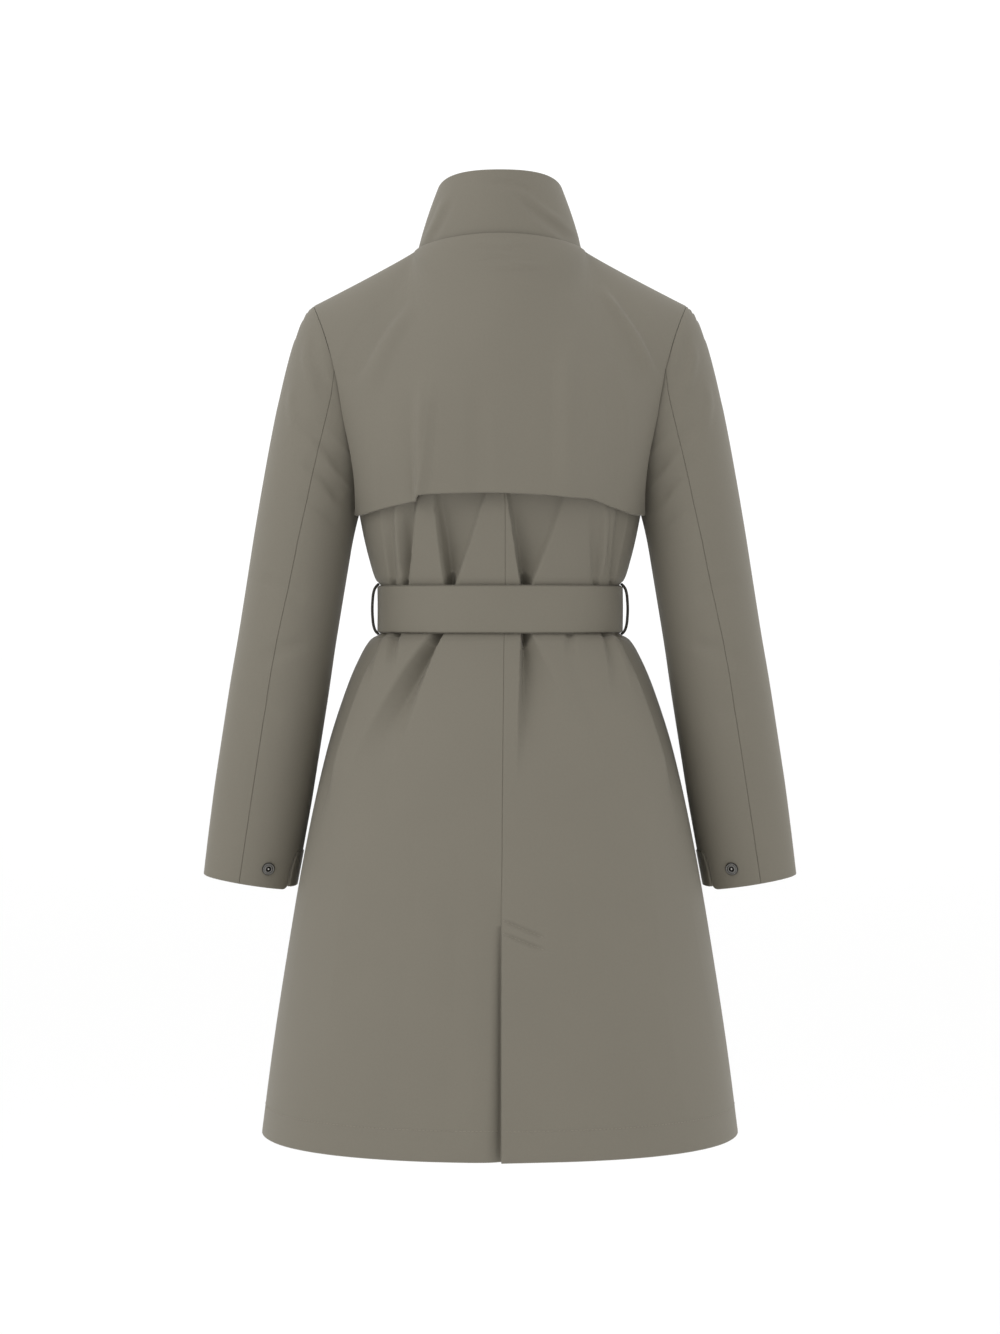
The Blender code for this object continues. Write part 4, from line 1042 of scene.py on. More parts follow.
def armhole_line(angle):
    """The armhole's edge, raised to the flap's face round the shoulder's end."""
    rear = np.clip(1.0 - angle / 180.0, 0.0, 1.0)
    fore = np.clip(angle / 180.0 - 1.0, 0.0, 1.0)
    one = np.ones(np.shape(angle))
    at_back = (angle <= 180.0)[..., None]
    point = np.where(at_back, body_form(BACK, one, rear), body_form(FRONT, one, fore))
    normal = np.where(at_back, body_normal(BACK, one, rear), body_normal(FRONT, one, fore))
    rear_share = 1.0 - smooth_step((angle - CAP_LIFT_FULL) / CAP_LIFT_FADE)
    fore_share = 1.0 - smooth_step((360.0 - angle) / CAP_LIFT_FADE)
    share = np.where(angle <= 180.0, rear_share, fore_share)
    return point + normal * (share * (FLAP_CLEAR + cloth_wall()))[..., None]


def sleeve_form(angle, run):
    """The left sleeve's smooth outer face: run 0 to 1 is the cap, 1 to 2 the tube down to the cuff."""
    angle, run = paired(angle, run)
    top_level = SLEEVE_SECTIONS[0, 0]
    cuff_level = SLEEVE_SECTIONS[-1, 0]
    tube = tube_form(angle, top_level + (cuff_level - top_level) * np.clip(run - 1.0, 0.0, 1.0))
    turned = np.mod(angle, 360.0)
    cosine = np.cos(np.radians(turned))
    sine = np.sin(np.radians(turned))
    pull = unit(CAP_WAY + CAP_WAY_SWING * stack(cosine, sine, cosine))
    share = ((1.0 + cosine) / 2.0)[..., None]
    start = armhole_line(turned) + pull * ARMHOLE_GAP
    end = tube_form(turned, np.full(turned.shape, top_level))
    pull = pull * (CAP_PULL_UNDER + (CAP_PULL_TOP - CAP_PULL_UNDER) * share)
    fall = unit(np.array((SLEEVE_LEAN, 0.0, -1.0)))
    fall = fall * (CAP_FALL_UNDER + (CAP_FALL_TOP - CAP_FALL_UNDER) * share)
    s = np.clip(run, 0.0, 1.0)[..., None]
    rise = s * s * (3.0 - 2.0 * s)
    cap = start * (1.0 - rise) + end * rise + pull * s * (1.0 - s) ** 2 + fall * s * s * (s - 1.0)
    return np.where((run >= 1.0)[..., None], tube, cap)


def sleeve_normal(angle, run):
    along = sleeve_form(angle + ANGLE_STEP, run) - sleeve_form(angle - ANGLE_STEP, run)
    down = sleeve_form(angle, np.minimum(run + RUN_STEP, 2.0))
    down = down - sleeve_form(angle, np.maximum(run - RUN_STEP, 0.0))
    return unit(np.cross(down, along))


def sleeve_cloth(angle, run):
    """Points and normals of the left sleeve with its creases."""
    angle, run = paired(angle, run)
    point = sleeve_form(angle, run)
    normal = sleeve_normal(angle, run)
    facing = np.sin(np.radians(angle))
    rear = crease_relief(SLEEVE_BACK_CREASES, point[..., 0], point[..., 2])
    fore = crease_relief(SLEEVE_FRONT_CREASES, point[..., 0], point[..., 2])
    relief = rear * smooth_step(facing / SLEEVE_FACE_FADE) + fore * smooth_step(-facing / SLEEVE_FACE_FADE)
    return point + normal * relief[..., None], normal


def back_seam_angle(run):
    return smooth_column(SLEEVE_SEAM, 1, run)


def cloth_wall():
    return bpy.context.scene.coat_cloth_settings.wall


def edge_run(start, end, count, length):
    """Even places from start to end with extra ones that round both cut edges; length is in metres."""
    places = np.linspace(start, end, count)
    roll = ROLL_PLACES / length * abs(end - start) * np.sign(end - start)
    margin = abs(roll[-1]) * ROLL_MARGIN
    inner = places[np.abs(places - start) > margin]
    inner = inner[np.abs(inner - end) > margin]
    return np.concatenate((start + roll, inner, (end - roll)[::-1]))


def grid_lengths(points):
    """Metric places of a grid's points, along its rows and its columns, for the weave."""
    across = np.cumsum(np.linalg.norm(np.diff(points, axis=1, prepend=points[:, :1]), axis=2), axis=1)
    down = np.cumsum(np.linalg.norm(np.diff(points, axis=0, prepend=points[:1]), axis=2), axis=0)
    across = across - across.mean(axis=1, keepdims=True)
    down = np.broadcast_to(down.mean(axis=1, keepdims=True), across.shape)
    return np.stack((across, down), axis=2)


def make_mesh(name, points, faces, places=None):
    mesh = bpy.data.meshes.new(name)
    mesh.from_pydata(points.tolist(), [], faces)
    mesh.update()
    if places is not None:
        layer = mesh.uv_layers.new(name="weave")
        corners = np.zeros(len(mesh.loops), np.int32)
        mesh.loops.foreach_get("vertex_index", corners)
        layer.data.foreach_set("uv", places[corners].astype(np.float32).ravel())
    mesh.shade_smooth()
    return mesh


def add_object(name, mesh, material):
    mesh.materials.append(material)
    piece = bpy.data.objects.new(name, mesh)
    bpy.context.scene.collection.objects.link(piece)
    return piece


def finish_piece(piece, name):
    """Let a piece ride on the coat's body in the place of the named solid."""
    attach(piece, "root")
    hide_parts(name)
    return piece


def shell_mesh(name, points, normals, thickness, present=None):
    """A closed wall on a grid of outer points, with rounded rims; present marks the cells that are cloth."""
    rows, columns = points.shape[:2]
    outer = points.reshape(-1, 3)
    inner = (points - normals * thickness).reshape(-1, 3)
    count = len(outer)
    index = np.arange(count).reshape(rows, columns)
    quads = np.stack((index[:-1, :-1], index[:-1, 1:], index[1:, 1:], index[1:, :-1]), axis=2)
    if present is None:
        present = np.ones((rows - 1, columns - 1), bool)
    quads = quads[present]
    middle = quads[len(quads) // 2]
    across = outer[middle[1]] - outer[middle[0]]
    down = outer[middle[3]] - outer[middle[0]]
    if np.dot(np.cross(across, down), outer[middle[0]] - inner[middle[0]]) < 0:
        quads = quads[:, ::-1]
    edges = np.concatenate([quads[:, (k, (k + 1) % 4)] for k in range(4)])
    keys = edges[:, 0] * count + edges[:, 1]
    twins = edges[:, 1] * count + edges[:, 0]
    rim_edges = edges[~np.isin(keys, twins)]
    rim = np.unique(rim_edges)
    flat_normals = normals.reshape(-1, 3)
    outward = np.zeros((count, 3))
    side = np.cross(outer[rim_edges[:, 1]] - outer[rim_edges[:, 0]], flat_normals[rim_edges[:, 0]])
    np.add.at(outward, rim_edges[:, 0], side)
    np.add.at(outward, rim_edges[:, 1], side)
    bulge = RIM_BULGE * thickness
    rim_points = (outer[rim] + inner[rim]) / 2.0 + unit(outward[rim]) * bulge
    place_of = np.full(count, -1)
    place_of[rim] = 2 * count + np.arange(len(rim))
    start, end = rim_edges[:, 0], rim_edges[:, 1]
    faces = np.concatenate((
        quads,
        quads[:, ::-1] + count,
        np.stack((end, start, place_of[start], place_of[end]), axis=1),
        np.stack((place_of[end], place_of[start], start + count, end + count), axis=1),
    ))
    everything = np.concatenate((outer, inner, rim_points))
    lengths = grid_lengths(points).reshape(-1, 2)
    places = np.concatenate((lengths, lengths, lengths[rim]))
    used = np.zeros(len(everything), bool)
    used[faces.ravel()] = True
    fresh = np.cumsum(used) - 1
    return make_mesh(name, everything[used], fresh[faces].tolist(), places[used])


def cloth_piece(name, points, normals, thickness, present=None, finish="coat_twill", slot="coat_cloth"):
    """A cloth wall in the place of the named solid."""
    mesh = shell_mesh(name + "_cloth", points, normals, thickness, present)
    return finish_piece(add_object(name + "_cloth", mesh, material_of(finish)), name)


def tube_faces(first, sides, rings):
    """Faces of a closed tube of rings of vertices that are numbered from first."""
    faces = [list(range(first, first + sides))[::-1]]
    for ring in range(rings - 1):
        low = first + ring * sides
        for k in range(sides):
            beside = (k + 1) % sides
            faces.append([low + k, low + beside, low + sides + beside, low + sides + k])
    top = first + (rings - 1) * sides
    return faces + [list(range(top, top + sides))]


def mirrored(points, side):
    return points * np.array((float(side), 1.0, 1.0))


def feed(tree, socket, source):
    """Link another node's output to an input, or set the input to a value."""
    if isinstance(source, bpy.types.NodeSocket):
        tree.links.new(source, socket)
    else:
        socket.default_value = source


def node(tree, kind, place, inputs, **options):
    """The outputs of a new node; inputs are named or numbered, each a value or another node's output."""
    made = tree.nodes.new(kind)
    made.location = place
    for name, value in options.items():
        setattr(made, name, value)
    for name, source in inputs.items():
        feed(tree, made.inputs[name], source)
    return made.outputs


def noise(tree, place, vector, scale, detail=2.0):
    inputs = {"Vector": vector, "Scale": scale, "Detail": detail}
    return node(tree, "ShaderNodeTexNoise", place, inputs)["Fac"]


def ranged(tree, place, value, low, high, from_low=0.0, from_high=1.0, **options):
    """A value taken from its own range to the one from low to high."""
    inputs = {"Value": value, "From Min": from_low, "From Max": from_high, "To Min": low, "To Max": high}
    return node(tree, "ShaderNodeMapRange", place, inputs, **options)["Result"]


def maths(tree, place, operation, *sources):
    inputs = dict(enumerate(sources))
    return node(tree, "ShaderNodeMath", place, inputs, operation=operation)["Value"]


def scaled(tree, place, colour, factor):
    inputs = {0: colour, "Scale": factor}
    return node(tree, "ShaderNodeVectorMath", place, inputs, operation="SCALE")["Vector"]


def new_finish(name, inputs):
    """A new material with these inputs of its shader set; its node tree and its shader's inputs."""
    material = bpy.data.materials.new(name)
    material.use_nodes = True
    sockets = material.node_tree.nodes["Principled BSDF"].inputs
    for socket, value in inputs.items():
        sockets[socket].default_value = value
    return material, material.node_tree, sockets


def cloth_finish(name, colour):
    """Smooth matte twill: fine diagonal ribs, slight colour and roughness drift, soft nap."""
    settings = bpy.context.scene.coat_cloth_settings
    material, tree, shader = new_finish(name, {
        "Specular IOR Level": CLOTH_SPECULAR,
        "Sheen Weight": settings.sheen,
        "Sheen Roughness": SHEEN_ROUGHNESS,
        "Sheen Tint": SHEEN_TINT,
    })
    weave = node(tree, "ShaderNodeUVMap", (-1300, 0), {}, uv_map="weave")["UV"]
    waves = {
        "Vector": weave,
        "Scale": RIB_SCALE / settings.twill_pitch,
        "Distortion": RIB_DISTORTION,
        "Detail": RIB_DETAIL,
    }
    options = {"wave_type": "BANDS", "bands_direction": "DIAGONAL"}
    bands = node(tree, "ShaderNodeTexWave", (-1000, -300), waves, **options)
    yarn = noise(tree, (-1000, -600), weave, YARN_SCALE / settings.twill_pitch)
    drift = noise(tree, (-1000, 0), weave, DRIFT_SCALE, DRIFT_DETAIL)
    fleck = noise(tree, (-1000, 300), weave, FLECK_SCALE)
    tone = ranged(tree, (-750, 0), drift, *DRIFT_TONES)
    grain = ranged(tree, (-750, 300), fleck, *FLECK_TONES)
    both = maths(tree, (-550, 150), "MULTIPLY", tone, grain)
    feed(tree, shader["Base Color"], scaled(tree, (-350, 150), colour, both))
    smoothest = settings.roughness - ROUGHNESS_DRIFT
    roughest = settings.roughness + ROUGHNESS_DRIFT
    feed(tree, shader["Roughness"], ranged(tree, (-550, -150), drift, smoothest, roughest))
    relief = maths(tree, (-750, -450), "MULTIPLY_ADD", bands["Fac"], RIB_SHARE, yarn)
    bump = {"Height": relief, "Strength": WEAVE_STRENGTH, "Distance": WEAVE_DEPTH}
    feed(tree, shader["Normal"], node(tree, "ShaderNodeBump", (-350, -400), bump)["Normal"])
    return material


def thread_finish():
    """Sewing thread with a fine grain of fibres."""
    settings = bpy.context.scene.coat_cloth_settings
    material, tree, shader = new_finish("sewing_thread", {"Specular IOR Level": THREAD_SPECULAR})
    place = node(tree, "ShaderNodeTexCoord", (-900, 0), {})["Object"]
    fibre = noise(tree, (-700, 0), place, FIBRE_SCALE)
    tone = ranged(tree, (-500, 0), fibre, *FIBRE_TONES)
    feed(tree, shader["Base Color"], scaled(tree, (-300, 0), settings.thread_colour, tone))
    feed(tree, shader["Roughness"], ranged(tree, (-300, -250), fibre, *THREAD_ROUGHNESS))
    return material


def snap_finish():
    """Dark satin gunmetal, a little lighter where it is rubbed, with painted shade in its recesses and rim
    and a painted highlight at its centre.
    """
    settings = bpy.context.scene.coat_trim_settings
    material, tree, shader = new_finish("snap_gunmetal", {"Metallic": 1.0})
    place = node(tree, "ShaderNodeTexCoord", (-900, 0), {})["Object"]
    wear = noise(tree, (-700, 0), place, WEAR_SCALE, WEAR_DETAIL)
    tone = ranged(tree, (-500, 0), wear, *WEAR_TONES)
    # Painted shade darkens the recesses and rim, and a painted highlight lightens the centre, read from a
    # point attribute
    painted_shade_and_highlight = node(tree, "ShaderNodeAttribute", (-900, 300), {}, attribute_name="painted_shade_and_highlight")["Fac"]
    depth = ranged(tree, (-700, 300), painted_shade_and_highlight, *PAINTED_LIGHT_TONES, from_low=PAINTED_HIGHLIGHT_FULL)
    both = maths(tree, (-450, 150), "MULTIPLY", tone, depth)
    feed(tree, shader["Base Color"], scaled(tree, (-300, 0), settings.snap_colour, both))
    feed(tree, shader["Roughness"], ranged(tree, (-300, -250), wear, *SNAP_ROUGHNESS))
    return material


def material_of(name):
    """The named finish, made when first asked for."""
    found = bpy.data.materials.get(name)
    if found is not None:
        return found
    settings = bpy.context.scene.coat_cloth_settings
    colours = {
        "coat_twill": settings.cloth_colour,
        "belt_twill": settings.belt_colour,
        "loop_painted_shade": settings.loop_painted_shade_colour,
    }
    if name in colours:
        return cloth_finish(name, colours[name])
    return thread_finish() if name == "sewing_thread" else snap_finish()


def body_rises():
    """Rows of the body panels, closer at the belt and the shoulder."""
    start, count = BODY_ROWS[0]
    levels = [edge_run(HEM_LEVEL, start, count, start - HEM_LEVEL)[:-ROLL_COUNT]]
    for end, count in BODY_ROWS[1:]:
        levels.append(np.linspace(start, end, count)[:-1])
        start = end
    shares = 1.0 - (1.0 - np.linspace(0.0, 1.0, SHOULDER_ROWS)) ** SHOULDER_ROW_CURVE
    return np.concatenate((np.concatenate(levels) - CHEST_LEVEL, shares))


def quarter_length(rise):
    half, back, front = body_sizes(level_of(rise))
    return (half + (back + front) / 2.0) / 2.0 * np.pi / 2.0


def body_panel(name, surface, side, lap, columns, lap_columns, lap_below=None):
    """One body panel from its centre edge, or its lap, to its side seam."""
    rises = body_rises()
    levels = level_of(rises)
    half = body_sizes(levels)[0]
    length = quarter_length(rises)
    gap = SEAM_GAP / 2.0 / length
    close = columns // 3
    base = np.concatenate((
        edge_run(0.0, CENTRE_SHARE, close, CENTRE_LENGTH)[:-ROLL_COUNT],
        (CENTRE_SHARE,),
        edge_run(CENTRE_SHARE, 1.0, columns - close, SIDE_LENGTH)[ROLL_COUNT:],
    ))
    seam = np.zeros(rises.size)
    if surface is back_cloth:
        seam = side * smooth_column(BACK_SEAM, 1, levels) * (1.0 - smooth_step(rises / BACK_SEAM_FADE))
    first = share_at(half, seam) + gap
    shares = first[:, None] + (1.0 - first - gap)[:, None] * base[None, :]
    present = None
    if lap > 0.0:
        lap_run = edge_run(-1.0, 0.0, lap_columns, lap)[:-ROLL_COUNT]
        lap_shares = share_at(half[:, None], lap * lap_run[None, :] + seam[:, None])
        shares = np.concatenate((lap_shares, shares), axis=1)
        if lap_below is not None:
            present = np.ones((len(rises) - 1, shares.shape[1] - 1), bool)
            present[levels[1:] > lap_below + LEVEL_MARGIN, :lap_run.size] = False
    rows = np.repeat(rises[:, None], shares.shape[1], axis=1)
    points, normals = surface(side, side * shares, rows)
    edge = np.minimum(np.abs(1.0 - gap[:, None] - shares), np.abs(shares - shares[:, :1]))
    edge = edge * length[:, None]
    hem = np.maximum(rises + CHEST_LEVEL - HEM_LEVEL, 0.0)[:, None]
    points = points - normals * roll_in(np.minimum(edge, hem))[..., None]
    shoulder = (rises >= 1.0)[:, None] & (shares > NECK_SHARE - NECK_CORNER)
    face = BACK if surface is back_cloth else FRONT
    points[..., 1] += np.where(shoulder, face * SEAM_GAP / 2.0, 0.0)
    return cloth_piece(name, points, normals, cloth_wall(), present)


class COAT_OT_backs(Operator):
    """Build the two halves of the back with the centre seam and the vent"""

    bl_idname = "coat.backs"
    bl_label = "Backs"

    def execute(self, context):
        for name, side, lap in (("back_left", LEFT, VENT_LAP), ("back_right", RIGHT, 0.0)):
            piece = body_panel(name, back_cloth, side, lap, BACK_COLUMNS, VENT_LAP_COLUMNS, VENT_TOP)
        return {"FINISHED"}


class COAT_OT_fronts(Operator):
    """Build the two fronts, the right one lapped over the left one"""

    bl_idname = "coat.fronts"
    bl_label = "Fronts"

    def execute(self, context):
        for name, side in (("front_left", LEFT), ("front_right", RIGHT)):
            piece = body_panel(name, front_cloth, side, FRONT_LAP, FRONT_COLUMNS, FRONT_LAP_COLUMNS)
        return {"FINISHED"}


class COAT_OT_storm_flap(Operator):
    """Build the loose layer over the upper back"""

    bl_idname = "coat.storm_flap"
    bl_label = "Storm flap"

    def execute(self, context):
        breaks = FLAP_BREAKS
        counts = FLAP_COLUMNS
        columns = np.concatenate((
            edge_run(breaks[0], breaks[1], counts[0], FLAP_END_LENGTHS[0])[:-ROLL_COUNT],
            np.linspace(breaks[1], breaks[2], counts[1])[:-1],
            np.linspace(breaks[2], breaks[3], counts[2])[:-1],
            edge_run(breaks[3], breaks[4], counts[3], FLAP_END_LENGTHS[1]),
        ))
        trial = np.linspace(0.0, FLAP_TRIAL_RISE, FLAP_TRIALS)[:, None]
        levels = body_form(BACK, columns[None, :], trial)
        low = np.zeros(columns.size)
        for k in range(columns.size):
            target = smooth_column(FLAP_HEM, 1, levels[FLAP_TRIAL_ROW, k, 0])
            low[k] = np.interp(target, levels[:, k, 2], trial[:, 0])
        rows = edge_run(0.0, 1.0, FLAP_ROWS, FLAP_LENGTH)[:-ROLL_COUNT]
        rows = np.concatenate((rows, 1.0 - FLAP_TOP_ROWS))
        rise = low[None, :] + (1.0 - low[None, :]) * rows[:, None]
        edge = FLAP_CORNER_EDGE + (FLAP_EDGE - FLAP_CORNER_EDGE) * smooth_step(rise / FLAP_EDGE_RISE)
        across = columns[None, :] * (1.0 - (1.0 - edge) * np.abs(columns[None, :]) ** FLAP_EDGE_CURVE)
        points, normals = flap_cloth(across, rise, 1.0 - rows[:, None] + 0.0 * across)
        beside = (1.0 - np.abs(columns))[None, :] * FLAP_HALF
        distance = np.minimum(beside, rows[:, None] * FLAP_LENGTH)
        points = points - normals * roll_in(distance)[..., None]
        piece = cloth_piece("storm_flap", points, normals, cloth_wall())
        return {"FINISHED"}


class COAT_OT_collar(Operator):
    """Build the standing funnel collar"""

    bl_idname = "coat.collar"
    bl_label = "Collar"

    def execute(self, context):
        reach = math.radians(180.0 + COLLAR_LAP)
        turns = edge_run(-reach, reach, COLLAR_COLUMNS, COLLAR_LENGTH)[None, :]
        heights = edge_run(0.0, 1.0, COLLAR_ROWS, COLLAR_HEIGHT)[:, None]
        points, normals = collar_cloth(turns, heights)
        distance = np.minimum((reach - np.abs(turns)) * COLLAR_RADIUS, (1.0 - heights) * COLLAR_HEIGHT)
        drop = np.maximum(roll_in(distance), roll_in(heights * COLLAR_HEIGHT, SEAM_ROLL_RADIUS))
        points = points - normals * drop[..., None]
        piece = cloth_piece("collar", points, normals, COLLAR_WALL)
        return {"FINISHED"}


def sleeve_runs():
    """Rows of a sleeve from the armhole to the cuff, with one at the slit's top."""
    cap = edge_run(0.0, 1.0, CAP_ROWS, CAP_LENGTH)[:-ROLL_COUNT]
    tube = edge_run(1.0, 2.0, TUBE_ROWS, TUBE_LENGTH)[ROLL_COUNT:]
    slit = np.array((CUFF_SLIT_RUN - CUFF_SLIT_STEP, CUFF_SLIT_RUN, CUFF_SLIT_RUN + CUFF_SLIT_STEP))
    tube = tube[np.abs(tube - CUFF_SLIT_RUN) > 2.0 * CUFF_SLIT_STEP]
    return np.sort(np.concatenate((cap, np.array((1.0,)), tube, slit)))


def sleeve_piece(name, side, first, last, slit=False):
    """A piece of sleeve between two seams; first and last give the seams' angles at each run."""
    runs = sleeve_runs()
    trim = math.degrees(SEAM_GAP / 2.0 / SLEEVE_SEAM_RADIUS)
    start = first(runs)[:, None] + trim
    end = last(runs)[:, None] - trim
    cut = smooth_column(CUFF_SLIT, 1, runs)[:, None]
    present = None
    if slit:
        lead = edge_run(0.0, 1.0, SLEEVE_UNDER_COLUMNS, SLEEVE_UNDER_WIDTH)
        beside = edge_run(0.0, 1.0, SLEEVE_BESIDE_COLUMNS, SLEEVE_BESIDE_WIDTH)
        before = start + (cut - start) * lead[None, :]
        angles = np.concatenate((before, cut + (end - cut) * beside[None, 1:]), axis=1)
        present = np.ones((runs.size - 1, angles.shape[1] - 1), bool)
        present[runs[:-1] >= CUFF_SLIT_RUN - LEVEL_MARGIN, lead.size - 1:] = False
    else:
        angles = start + (end - start) * edge_run(0.0, 1.0, SLEEVE_TOP_COLUMNS, SLEEVE_TOP_WIDTH)[None, :]
    rows = np.repeat(runs[:, None], angles.shape[1], axis=1)
    if slit:
        corner = np.clip((cut - angles) / CUFF_CORNER_ANGLE, 0.0, 1.0)
        raised = CUFF_CORNER_RUN * (1.0 - np.sqrt(1.0 - (1.0 - corner) ** 2))
        ease = smooth_step((rows - CUFF_SLIT_RUN) / (2.0 - CUFF_SLIT_RUN))
        rows = rows - raised * ease * (angles <= cut)
    points, normals = sleeve_cloth(angles, rows)
    distance = np.minimum(np.abs(angles - start), np.abs(end - angles)) * math.radians(SLEEVE_RADIUS)
    ends = (2.0 - runs)[:, None] * TUBE_LENGTH + 0.0 * angles
    if slit:
        slit_distance = np.abs(cut - angles) * math.radians(SLEEVE_RADIUS)
        ends = np.where(rows > CUFF_SLIT_RUN, np.minimum(ends, slit_distance), ends)
    drop = np.maximum(roll_in(distance, SEAM_ROLL_RADIUS), roll_in(ends))
    points = points - normals * drop[..., None]
    return cloth_piece(name, mirrored(points, side), mirrored(normals, side), cloth_wall(), present)


class COAT_OT_sleeves(Operator):
    """Build the two-piece sleeves"""

    bl_idname = "coat.sleeves"
    bl_label = "Sleeves"

    def execute(self, context):
        def front_seam(runs):
            return np.full(runs.shape, INNER_SEAM - 360.0)

        def inner_seam(runs):
            return np.full(runs.shape, INNER_SEAM)

        for word, side in SIDES:
            top = sleeve_piece("sleeve_top_" + word, side, front_seam, back_seam_angle)
            under = sleeve_piece("sleeve_under_" + word, side, back_seam_angle, inner_seam, slit=True)
        return {"FINISHED"}


class COAT_OT_cuff_tabs(Operator):
    """Build the straps across the cuffs' slits"""

    bl_idname = "coat.cuff_tabs"
    bl_label = "Cuff tabs"

    def execute(self, context):
        for word, side in SIDES:
            share = edge_run(0.0, 1.0, TAB_COLUMNS, TAB_LENGTH)[None, :]
            rows = edge_run(0.0, 1.0, TAB_ROWS, TAB_WIDTH)[:, None]
            middle = (TAB_LOW + TAB_HIGH) / 2.0
            nose = np.clip((share - 1.0 + TAB_NOSE / 2.0) / (TAB_NOSE / 2.0), 0.0, 1.0)
            squeeze = 1.0 - TAB_NOSE * nose * nose
            run = middle + (TAB_HIGH + (TAB_LOW - TAB_HIGH) * rows - middle) * squeeze
            near = smooth_column(TAB_EDGE, 1, run)
            angle = near + (TAB_END - near) * share
            point, normal = sleeve_cloth(angle, run)
            beside = np.minimum(share, 1.0 - share) * TAB_LENGTH
            distance = np.minimum(beside, np.minimum(rows, 1.0 - rows) * TAB_WIDTH)
            stand = (TAB_CLEAR + TAB_WALL) * smooth_step((angle - TAB_RISE_START) / TAB_RISE_WIDTH)
            point = point + normal * (stand - roll_in(distance))[..., None]
            piece = cloth_piece("cuff_tab_" + word, mirrored(point, side), mirrored(normal, side), TAB_WALL)
        return {"FINISHED"}


class COAT_OT_snaps(Operator):
    """Build the four ring snaps"""

    bl_idname = "coat.snaps"
    bl_label = "Snaps"

    def execute(self, context):
        steps = SNAP_STEPS
        turn = np.linspace(0.0, 2.0 * np.pi, steps, endpoint=False)
        rings = [np.array(((0.0, 0.0, SNAP_PROFILE[0][1]),))]
        rings += [
            np.stack((radius * np.cos(turn), radius * np.sin(turn), np.full(steps, height)), axis=1)
            for radius, height, _ in SNAP_PROFILE[1:-1]
        ]
        rings.append(np.array(((0.0, 0.0, SNAP_PROFILE[-1][1]),)))
        points = np.concatenate(rings)
        # Share of painted shade per point, below 0 a painted highlight
        painted_shade_and_highlight = np.concatenate([np.full(len(ring), row[2]) for ring, row in zip(rings, SNAP_PROFILE)])
        faces = [[0, 1 + k, 1 + (k + 1) % steps] for k in range(steps)]
        for ring in range(len(SNAP_PROFILE) - 3):
            first = 1 + ring * steps
            for k in range(steps):
                beside = (k + 1) % steps
                faces.append([first + k, first + steps + k, first + steps + beside, first + beside])
        last = len(points) - 1
        faces += [[last, last - steps + (k + 1) % steps, last - steps + k] for k in range(steps)]
        tab_run = (TAB_LOW + TAB_HIGH) / 2.0
        tab_lift = TAB_CLEAR + TAB_WALL + SEAM_GAP
        for word, side in SIDES:
            for kind, angle, run, lift in (
                ("cuff_snap_", CUFF_SNAP_ANGLE, CUFF_SNAP_RUN, SEAM_GAP),
                ("tab_snap_", TAB_SNAP_ANGLE, tab_run, tab_lift),
            ):
                point, normal = sleeve_cloth(np.array((angle,)), np.array((run,)))
                way = Vector(mirrored(normal, side)[0])
                seat = Vector(mirrored(point, side)[0]) + way * lift
                mesh = make_mesh(kind + word, points, faces)
                mesh.attributes.new("painted_shade_and_highlight", "FLOAT", "POINT").data.foreach_set("value", painted_shade_and_highlight)
                mesh.transform(Matrix.Translation(seat) @ way.to_track_quat("Z", "Y").to_matrix().to_4x4())
                piece = add_object(kind + word + "_metal", mesh, material_of("snap_gunmetal"))
                finish_piece(piece, kind + word)
        return {"FINISHED"}


def belt_form(across, stand):
    """A point outside the waist ring; across runs round from -2 to 2 with 0 at the centre back."""
    base = ring_form(BACK, across, np.full(np.shape(across), BELT_MIDDLE))
    half, back, front = body_sizes(np.array(BELT_MIDDLE))
    turn = across * np.pi / 2.0
    depth = np.where(np.abs(across) <= 1.0, back, front)
    normal = unit(stack(depth * np.sin(turn), half * np.cos(turn), 0.0))
    return base + normal * np.asarray(stand)[..., None], normal


class COAT_OT_belt(Operator):
    """Build the belt and its two side loops"""

    bl_idname = "coat.belt"
    bl_label = "Belt"

    def execute(self, context):
        ends = 2.0 - BELT_END_GAP
        across = np.linspace(-ends, ends, BELT_COLUMNS)[None, :]
        rows = edge_run(0.0, 1.0, BELT_ROWS, BELT_WIDTH)[:, None]
        distance = np.minimum(rows, 1.0 - rows) * BELT_WIDTH
        sag = BELT_SAG * np.sin(across * BELT_SAG_ROUND + BELT_SAG_START) * np.sin(rows * BELT_SAG_UP)
        stand = BELT_CLEAR + BELT_WALL + sag - roll_in(distance)
        points, normals = belt_form(across + 0.0 * rows, stand)
        points[..., 2] = BELT_BOTTOM + (BELT_TOP - BELT_BOTTOM) * rows
        piece = cloth_piece("belt", points, normals, BELT_WALL, finish="belt_twill", slot="belt_cloth")
        levels = np.linspace(LOOP_LINE[0, 0], LOOP_LINE[-1, 0], LOOP_ROWS)
        out = smooth_column(LOOP_LINE, 1, levels) + body_sizes(np.array(BELT_MIDDLE))[0]
        slope = np.gradient(out, levels)
        flat = np.linspace(-LOOP_HALF, LOOP_HALF, LOOP_COLUMNS)
        points = stack(out[:, None], flat[None, :], levels[:, None])
        normals = unit(stack(1.0, 0.0 * flat[None, :], -slope[:, None]))
        for word, side in SIDES:
            own = (mirrored(points, side), mirrored(normals, side))
            # The loops' near-black cloth is painted shade
            piece = cloth_piece("belt_loop_" + word, *own, LOOP_WALL, finish="loop_painted_shade")
        return {"FINISHED"}


